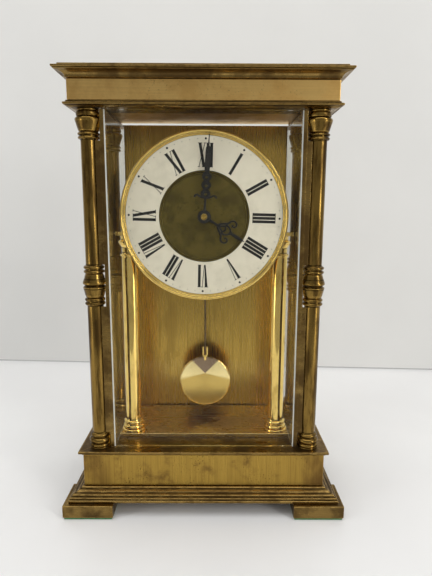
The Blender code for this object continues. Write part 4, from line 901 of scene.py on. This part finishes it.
def make_bezel():
    back, front = dial_high.y, dial_low.y
    lip = RING_OUT + 0.0003
    groove, rim = lip + 0.0011, DIAL_R - 0.0021
    rows = [(lip, back), (lip, RING_FACE - 0.0004), (lip + 0.0008, RING_FACE - 0.0007),
            (groove, RING_FACE - 0.0004), ((groove + rim) / 2, (RING_FACE + front) / 2),
            (rim, front + 0.0009), (rim + 0.0004, front + 0.0002), (DIAL_R - 0.0010, front),
            (DIAL_R - 0.0003, front + 0.0004), (DIAL_R, front + 0.0014), (DIAL_R, back)]
    # The sloping band from the groove to the rim gets a darkening mark, a painted dark reflection.
    painted_reflection_dark, slack = -0.42, 0.0001
    profile = [(r, h, painted_reflection_dark if groove - slack < r < rim + slack else mark)
               for r, h, mark in eased(rows, 0.0002)]
    piece("bezel_ring", on_dial(profile, 160, closed=True), POLISHED, "bezel")


def make_chapter_ring():
    rows = [(RING_IN, RING_FACE), (RING_OUT, RING_FACE), (RING_OUT, ring_high.y), (RING_IN, ring_high.y)]
    piece("chapter_ring_disc", on_dial(eased(rows, 0.0001), 144, closed=True), SILVERED, "chapter_ring")


def make_dial_centre():
    """The plate behind the ring, its turned step round the middle, and its four feet."""
    face, rear = ring_high.y + 0.0003, dial_high.y
    hole, edge, outside = 0.0036, RING_IN - 0.0004, RING_OUT - 0.0006
    rows = [(hole, face), (edge - 0.0022, face), (edge - 0.0020, face - 0.0005),
            (edge - 0.0015, face - 0.0006), (edge - 0.0013, face - 0.0001), (edge - 0.0009, face - 0.0001),
            (edge - 0.0007, face - 0.0008), (edge, face - 0.0008), (edge, face), (outside, face),
            (outside, rear), (hole, rear)]
    disc = on_dial(eased(rows, 0.0002), 128, closed=True)
    start, end, radius = rear - 0.0002, box("dial_plate")[1].y, 0.0020
    foot = eased([(0, start, 0), (radius, start), (radius, end), (0, end, 0)], 0.0002, closed=False)
    for x in (-0.0220, 0.0220):
        for z in (-0.0310, 0.0310):
            join(disc, turned(foot, (DIAL.x + x, 0, DIAL.z + z), "Y", 24))
    piece("dial_centre", disc, DIAL_BRASS, "dial_plate")


def make_minute_dots():
    """A dot for each minute, larger at the hours."""
    turn = (math.pi / 2, math.radians(DIAL_TURN), 0.0)
    dots = RINGS.grow("minute_dots", {"Count": 60, "Radius": 0.0566, "Size": 0.00027, "Height": 0.00005,
                                      "Every": 5, "Larger": 3.1, "Turn": turn,
                                      "Place": (DIAL.x, RING_FACE - 0.00003, DIAL.z), "Finish": BLACKED},
                      smooth=False)
    settle(dots)


def clock_place(across, along, degrees):
    """A point on the dial: across and along a line at a clock angle."""
    angle = math.radians(degrees)
    return (DIAL.x + across * math.cos(angle) + along * math.sin(angle),
            DIAL.z - across * math.sin(angle) + along * math.cos(angle))


NUMERAL_LOW, NUMERAL_HIGH = 0.0362, 0.0536     # from the dial's middle
THICK, THIN, SERIF = 0.00212, 0.00048, 0.00046
VEE_FOOT = 0.42         # the share of its width that a V's thick stroke keeps at its foot
WIDTHS = {"I": 0.00262, "V": 0.0056, "X": 0.0062}
NUMERALS = ("XII", "I", "II", "III", "IIII", "V", "VI", "VII", "VIII", "IX", "X", "XI")


def glyph(letter, left):
    """Strokes and serifs of one letter as quads of (across, along)."""
    low, high, width = NUMERAL_LOW, NUMERAL_HIGH, WIDTHS[letter]
    middle, top = left + width / 2, high - SERIF
    if letter == "I":
        return [bar(middle, low, middle, high, THICK), serif(middle, low, width - 0.0001),
                serif(middle, top, width - 0.0001)]
    wide, narrow = THICK + 0.0009, 0.0017
    thick_top, thin_top = left + 0.0004 + THICK / 2, left + width - 0.0010
    tops = [serif(thick_top, top, wide), serif(thin_top, top, narrow)]
    if letter == "V":
        return [bar(middle - 0.0001, low, thick_top, high, THICK, VEE_FOOT),
                bar(middle + 0.0004, low, thin_top, high, THIN), *tops]
    thick_foot, thin_foot = left + width - 0.0004 - THICK / 2, left + 0.0010
    return [bar(thick_foot, low, thick_top, high, THICK), bar(thin_foot, low, thin_top, high, THIN), *tops,
            serif(thick_foot, low, wide), serif(thin_foot, low, narrow)]


def bar(x0, z0, x1, z1, thick, narrow=1.0):
    """A stroke from its foot to its top; narrow is the foot's share of the width."""
    half0, half1 = thick * narrow / 2, thick / 2
    return [(x0 - half0, z0), (x0 + half0, z0), (x1 + half1, z1), (x1 - half1, z1)]


def serif(middle, z, width):
    return bar(middle, z, middle, z + SERIF, width)


def make_numerals():
    """Raised black numerals, their feet towards the centre."""
    proud, step, back = 0.00004, 0.000002, RING_FACE - 0.00001
    bm = bmesh.new()
    for hour, word in enumerate(NUMERALS):
        degrees = hour * 30 + DIAL_TURN
        left = -sum(WIDTHS[letter] for letter in word) / 2
        quads = []
        for letter in word:
            quads += glyph(letter, left)
            left += WIDTHS[letter]
        for lift, quad in enumerate(quads):
            spots = [clock_place(x, z, degrees) for x, z in quad]
            near = [bm.verts.new((x, RING_FACE - proud - lift * step, z)) for x, z in spots]
            far = [bm.verts.new((x, back, z)) for x, z in spots]
            bm.faces.new(near)
            bm.faces.new(far[::-1])
            for i in range(4):
                j = (i + 1) % 4
                bm.faces.new((near[j], near[i], far[i], far[j]))
    piece("numerals", bm, BLACKED)


# ---------------------------------------------------------------- hands
def curve_points(points):
    """A smooth line through (across, along, width) points."""
    out = []
    for i in range(len(points) - 1):
        p0, p1 = Vector(points[max(i - 1, 0)]), Vector(points[i])
        p2, p3 = Vector(points[i + 1]), Vector(points[min(i + 2, len(points) - 1)])
        for s in range(CURVE_STEPS):
            t = s / CURVE_STEPS
            out.append(0.5 * (2 * p1 + (p2 - p0) * t + (2 * p0 - 5 * p1 + 4 * p2 - p3) * t ** 2
                              + (3 * p1 - p0 - 3 * p2 + p3) * t ** 3))
    out.append(Vector(points[-1]))
    return out


# a hand's section: across in half widths, depth in thicknesses
CROWNED = ((-1.0, 0.0), (-0.82, -0.36), (-0.3, -0.5), (0.3, -0.5),
           (0.82, -0.36), (1.0, 0.0), (0.9, 0.5), (-0.9, 0.5))


class Hand:
    """A pierced hand built up from strokes, each a little thinner where they cross."""

    def __init__(self, node, degrees):
        low, high = box(node)
        self.node, self.degrees = node, degrees
        self.y, self.thick = (low.y + high.y) / 2, high.y - low.y
        self.bm = bmesh.new()

    def boss(self, radius, bore):
        """The round eye at the hand's foot."""
        front, back = self.y - self.thick / 2, self.y + self.thick / 2
        rows = eased([(radius, back), (radius, front), (bore, front), (bore, back)], 0.0001)
        join(self.bm, on_dial(rows, 40, closed=True))

    def stroke(self, points, share=1.0):
        """Sweep a crowned bar of changing width along a line of (across, along, width) in mm."""
        line = curve_points(points)
        rings = []
        for i, point in enumerate(line):
            ahead = line[min(i + 1, len(line) - 1)] - line[max(i - 1, 0)]
            ahead = Vector((ahead.x, ahead.y)).normalized()
            across = Vector((ahead.y, -ahead.x))
            ring = []
            for u, v in CROWNED:
                spot = Vector((point.x, point.y)) + across * (u * point.z / 2)
                x, z = clock_place(spot.x * MM, spot.y * MM, self.degrees)
                ring.append(self.bm.verts.new((x, self.y + v * self.thick * share, z)))
            rings.append(ring)
        for near, far in zip(rings, rings[1:]):
            for i in range(len(CROWNED)):
                j = (i + 1) % len(CROWNED)
                self.bm.faces.new((near[i], near[j], far[j], far[i]))
        self.bm.faces.new(rings[0])
        self.bm.faces.new(rings[-1])

    def both(self, points, share):
        """The same stroke on either side of the hand."""
        self.stroke(points, share)
        self.stroke([(-x, z, width) for x, z, width in points], share - 0.02)

    def finish(self, body):
        piece(f"{self.node}_pierced", self.bm, BLACKED, self.node, body)


def make_minute_hand():
    hand = Hand("minute_hand", 3.7)
    hand.boss(0.0044, 0.0020)
    hand.stroke([(0, 3.9, 2.1), (0, 8, 1.5), (0, 13.8, 1.5)])
    hand.both([(0.0, 14.4, 2.2), (2.2, 14.2, 1.7), (4.6, 15.0, 1.4), (6.4, 15.8, 1.3), (7.8, 15.0, 1.6),
               (7.6, 14.0, 1.9)], 0.90)
    chain, twist, link = 13.8, 2.6, 1.55        # where the rings start, their half width, a quarter ring
    hand.both([(twist * math.sin(math.pi * s / 4), chain + s * link, 2.1) for s in range(13)], 0.96)
    for middle in (16.9, 23.1, 29.3):
        hand.stroke([(-1.6, middle, 0.8), (0, middle + 0.9, 1.0), (1.6, middle, 0.8)], 0.8)
    hand.stroke([(0, 31.8, 2.6), (0, 34.5, 3.9), (0, 42, 4.0), (0, 49.5, 3.6), (0, 51.5, 1.3),
                 (0, 59.0, 0.7)])
    hand.finish("centre")


def make_hour_hand():
    hand = Hand("hour_hand", 121.6)
    hand.boss(0.0050, 0.0031)
    hand.stroke([(0, 4.4, 2.3), (0, 8, 1.8), (0, 12.6, 1.8)])
    scroll = [(0.0, 12.0, 1.5), (1.9, 13.2, 1.4), (3.6, 15.6, 1.4), (5.4, 18.0, 1.4), (7.6, 19.0, 1.35),
              (9.0, 21.0, 1.35), (8.3, 23.4, 1.35), (6.2, 24.0, 1.3), (4.9, 22.4, 1.2), (5.9, 21.0, 1.4)]
    hand.both(scroll, 0.96)
    lyre = [(0.0, 12.4, 1.2), (1.7, 16.0, 1.25), (3.4, 18.4, 1.3), (2.6, 21.0, 1.25), (0.9, 22.8, 1.25),
            (0.0, 25.4, 1.3)]
    hand.both(lyre, 0.92)
    hand.stroke([(-5.2, 18.0, 1.0), (-2.6, 17.2, 1.1), (0, 18.6, 1.2), (2.6, 17.2, 1.1), (5.2, 18.0, 1.0)],
                0.86)
    hand.stroke([(0, 21.8, 1.4), (0, 25.6, 2.2), (0, 29.5, 2.6), (0, 33.0, 1.5), (0, 35.2, 0.5)])
    hand.finish("hour")


def make_hand_nut():
    """A black collet under a small polished dome."""
    low, high = box("hand_nut")
    front, back = low.y, high.y
    radius, neck = 0.0044, 0.0030
    rows = [(0, back, 0), (radius, back), (radius, back - 0.0003), (neck, back - 0.0008),
            (0, back - 0.0008, 0)]
    piece("hand_collet", on_dial(smooth_profile(rows, 0.0002), 40), BLACKED, body="centre")
    rows = [(0, back - 0.0007, 0), (0.0025, back - 0.0007), (0.0024, front + 0.0007),
            (0.0016, front + 0.0002), (0, front, 0)]
    piece("hand_nut_dome", on_dial(smooth_profile(rows, 0.0003), 40), POLISHED, "hand_nut", "centre")


# ---------------------------------------------------------------- movement
MOVEMENT_POST_X, MOVEMENT_POST_Z = 0.0270, 0.0385      # from the dial's middle
REFINED = (         # node, body, finish, ease
    ("movement_plate_front", "case", WORKS, 0.00025),
    ("movement_plate_back", "case", WORKS, 0.00025),
    ("suspension_cock", "case", WORKS, 0.00025),
    ("centre_wheel", "centre", WORKS, 0.00005),
    ("cannon_pinion", "centre", STEEL, 0.00005),
    ("hour_wheel", "hour", WORKS, 0.00005),
    ("minute_wheel", "minute_work", WORKS, 0.00005),
    ("intermediate_wheel", "intermediate", WORKS, 0.00005),
    ("third_wheel", "third", WORKS, 0.00004),
    ("escape_wheel", "escape", WORKS, 0.00004),
    ("spring_barrel", "barrel", WORKS, 0.00008),
    ("click", "click", STEEL, 0.00012),
    ("winding_arbor", "winder", STEEL, 0.00006),
    ("winding_key", "winder", POLISHED, 0.00030),
    ("pallets", "pallets", STEEL, 0.00010),
)


def make_works():
    for node, body, finish, ease in REFINED:
        piece(f"{node}_made", refined(node, ease), finish, node, body)


def make_set_knob():
    low, high = box("set_knob")
    centre = middle_of("set_knob")
    radius, y0, y1 = (high.x - low.x) / 2, low.y, high.y
    bore, hub, rim, bevel = 0.0009, 0.0030, radius * 0.94, 0.0008
    rows = [(bore, y0), (hub, y0), (rim, y0 + bevel), (rim, y1 - bevel), (hub, y1), (bore, y1)]
    knob = turned(eased(rows, 0.0003), (centre.x, 0, centre.z), "Y", 40, closed=True)
    piece("set_knob_turning", knob, POLISHED, "set_knob", "minute_work")
    place = (centre.x, (y0 + y1) / 2, centre.z)
    ribs("set_knob_knurl", place, 30, radius * 0.93, 0.00030, y1 - y0 - 0.0020, "minute_work")


def make_mainspring():
    low, high = box("mainspring")
    centre = middle_of("spring_barrel")
    coil = COILS.grow("mainspring_coil", {
        "Turns": 9.0, "Inner": 0.0060, "Outer": (high.x - low.x) / 2 - 0.0004, "Width": high.y - low.y,
        "Thickness": 0.00032, "Place": (centre.x, (low.y + high.y) / 2, centre.z), "Finish": STEEL})
    settle(coil, "mainspring", "barrel")


def post_ends(y):
    return [Vector((DIAL.x + x, y, DIAL.z + z)) for x in (-MOVEMENT_POST_X, MOVEMENT_POST_X)
            for z in (-MOVEMENT_POST_Z, MOVEMENT_POST_Z)]


def make_movement_screws():
    back, front = box("movement_plate_back")[1].y, box("movement_plate_front")[0].y
    screws("movement_pillar_screws", post_ends(back + 0.0005), 0.0026, 0.0012)
    screws("movement_front_screws", post_ends(front - 0.0004), 0.0022, 0.0010, backwards=False)
    low, high = box("suspension_cock")
    y, z = high.y + 0.0003, (low.z + high.z) / 2
    screws("suspension_screws", [Vector((DIAL.x + x, y, z)) for x in (-0.0032, 0.0032)], 0.0011, 0.0008)
    pivot = joint_place("click_pivot")
    screws("click_screw", [Vector((pivot.x, box("click")[1].y + 0.0004, pivot.z))], 0.0015, 0.0009)


def make_stem(pivot):
    """The rod, its block and the thin spring it hangs by."""
    low, high = box("pendulum_rod")
    radius, top = 0.0008, pivot.z - 0.0070
    rows = [(0, low.z, 0), (radius, low.z), (radius, top), (0, top, 0)]
    stem = turned(eased(rows, 0.0002, closed=False), (pivot.x, pivot.y, 0), steps=20)
    join(stem, slab((pivot.x - 0.0009, pivot.y - 0.0018, pivot.z - 0.0100),
                    (pivot.x + 0.0009, pivot.y + 0.0018, pivot.z - 0.0040), 0.0002))
    join(stem, slab((pivot.x - 0.0002, pivot.y - 0.0016, pivot.z - 0.0050),
                    (pivot.x + 0.0002, pivot.y + 0.0016, high.z), 0.00005))
    piece("pendulum_stem", stem, DARK_STEEL, "pendulum_rod", "pendulum")


def make_bob(centre, radius):
    """A slightly coned disc with a raised rim."""
    front, back = centre.y - 0.0030, centre.y + 0.0030
    rows = [(0, back, 0), (radius - 0.0016, back), (radius - 0.0004, back - 0.0006),
            (radius, back - 0.0016), (radius, front + 0.0022), (radius - 0.0002, front + 0.0016),
            (radius - 0.0012, front + 0.0012), (radius - 0.0022, front + 0.0013, 0), (0, front, 0)]
    disc = turned(smooth_profile(rows, 0.0003), (centre.x, 0, centre.z), "Y", 128)
    piece("bob_disc", disc, SPUN_PAINTED_REFLECTION, "pendulum_bob", "pendulum")


def make_clip(x, front, top):
    """The bright fork over the bob, in front of the rod."""
    back = front + 0.0008
    clip = slab((x - 0.0009, front, top - 0.0030), (x + 0.0009, back, top + 0.0012), 0.0002)
    for side in (-1, 1):
        x0, x1 = sorted((x + side * 0.0012, x + side * 0.0023))
        join(clip, slab((x0, front, top + 0.0008), (x1, back, top + 0.0092), 0.0002))
    join(clip, slab((x - 0.0023, front, top + 0.0004), (x + 0.0023, back, top + 0.0018), 0.0002))
    piece("bob_clip", clip, POLISHED, body="pendulum")


def make_pendulum():
    pivot = joint_place("pendulum_swing")
    radius = (BOB_HIGH.x - BOB_LOW.x) / 2
    make_stem(pivot)
    make_bob(Vector((pivot.x, pivot.y, BOB_LOW.z + radius)), radius)
    make_clip(pivot.x, pivot.y - 0.0019, BOB_LOW.z + 2 * radius)


# ---------------------------------------------------------------- stage, light and camera
def stage_material(name, colour, rough):
    f = Finish(name, colour, rough)
    speck = f.noise((9.0, 9.0, 9.0), 4.0, 0.5)
    f.feed("Base Color", f.mix(f.between(speck, 0.3, 0.7), colour, tuple(c * 0.97 for c in colour)))
    return f


def open_from_behind(f):
    """Let a sheet be seen through from its rear, so the clock's back stays in view."""
    swap = f.add("ShaderNodeMixShader")
    f.put(swap.inputs["Fac"], f.add("ShaderNodeNewGeometry").outputs["Backfacing"])
    f.put(swap.inputs[1], f.shader.outputs["BSDF"])
    f.put(swap.inputs[2], f.add("ShaderNodeBsdfTransparent").outputs["BSDF"])
    f.surface(swap.outputs["Shader"])


def stage_sheet(name, corners, material):
    mesh = bpy.data.meshes.new(name)
    mesh.from_pydata(corners, [], [(0, 1, 2, 3)])
    mesh.materials.append(material)
    obj = bpy.data.objects.new(name, mesh)
    bpy.context.collection.objects.link(obj)
    return obj


def lamp(name, place, target, width, height, power, colour=(1.0, 1.0, 1.0)):
    light = bpy.data.lights.new(name, "AREA")
    light.shape = "RECTANGLE"
    light.size, light.size_y, light.energy, light.color = width, height, power, colour
    obj = bpy.data.objects.new(name, light)
    obj.location = place
    obj.rotation_euler = (Vector(target) - Vector(place)).to_track_quat("-Z", "Y").to_euler()
    bpy.context.collection.objects.link(obj)
    return obj


HALF_ROOM = 3.0         # half the desk's and the wall's width, and the wall's height


def make_stage():
    lean = 0.056        # the wall comes nearer towards the right
    wall = cad_high[1] + 0.242
    near = cad_low[1] - 0.34
    left, right = wall + HALF_ROOM * lean, wall - HALF_ROOM * lean
    desk = stage_material("desk_white", (0.82, 0.82, 0.82), 0.40)
    paper = stage_material("wall_white", (0.70, 0.70, 0.685), 0.7)
    open_from_behind(paper)
    under, gap = 0.004, 0.003       # the desk runs on under the wall, which stops just over it
    stage_sheet("desk", [(-HALF_ROOM, near, 0), (HALF_ROOM, near, 0), (HALF_ROOM, right + under, 0),
                         (-HALF_ROOM, left + under, 0)], desk.material)
    stage_sheet("wall", [(-HALF_ROOM, left, gap), (HALF_ROOM, right, gap), (HALF_ROOM, right, HALF_ROOM),
                         (-HALF_ROOM, left, HALF_ROOM)], paper.material)
    aim = (0.0, 0.0, 0.16)
    lamp("ceiling", (0.0, -0.25, 1.45), (0.0, 0.05, 0.1), 1.7, 1.1, 12.5)
    lamp("window_right", (1.05, -0.95, 0.62), aim, 0.30, 0.9, 7.0, (1.0, 0.98, 0.95))
    side = lamp("window_left", (-1.15, -0.60, 0.50), aim, 0.25, 0.8, 3.6)
    side.visible_glossy = False
    for end, out in (("left", -1), ("right", 1)):
        lamp(f"low_{end}", (out * 0.62, -0.42, 0.05), (0.0, 0.0, 0.08), 0.16, 0.16, 0.35, (1.0, 0.96, 0.88))
    world = bpy.data.worlds.new("soft_room")
    world.use_nodes = True
    back = world.node_tree.nodes["Background"]
    back.inputs["Color"].default_value = (1.0, 0.99, 0.97, 1.0)
    back.inputs["Strength"].default_value = 0.40
    bpy.context.scene.world = world


def make_camera():
    eye_point = Vector((0.00786, -0.37007, 0.23213))
    down, right, roll = 9.45, 0.20, 0.25
    camera = bpy.data.cameras.new("camera")
    camera.sensor_fit = "HORIZONTAL"
    camera.sensor_width = 36.0
    camera.lens = 37.93
    camera.clip_start = 0.01
    obj = bpy.data.objects.new("camera", camera)
    turn = (Matrix.Rotation(math.radians(-right), 4, "Z") @ Matrix.Rotation(math.radians(90 - down), 4, "X")
            @ Matrix.Rotation(math.radians(roll), 4, "Z"))
    obj.matrix_world = Matrix.Translation(eye_point) @ turn
    bpy.context.collection.objects.link(obj)
    bpy.context.scene.camera = obj
    bpy.context.scene.view_settings.view_transform = "Standard"


def dress_rods():
    """The tie rods keep their own shape and only take a better steel."""
    for end, side in CORNERS:
        nodes[f"tie_rod_{end}_{side}"].material_slots[0].material = STEEL


make_feet()
make_base()
make_columns()
make_top()
make_glass()
make_rear_door()
make_pillars()
make_bezel()
make_chapter_ring()
make_dial_centre()
make_numerals()
make_minute_dots()
make_minute_hand()
make_hour_hand()
make_hand_nut()
make_works()
make_set_knob()
make_mainspring()
make_movement_screws()
make_pendulum()
dress_rods()
make_stage()
make_camera()
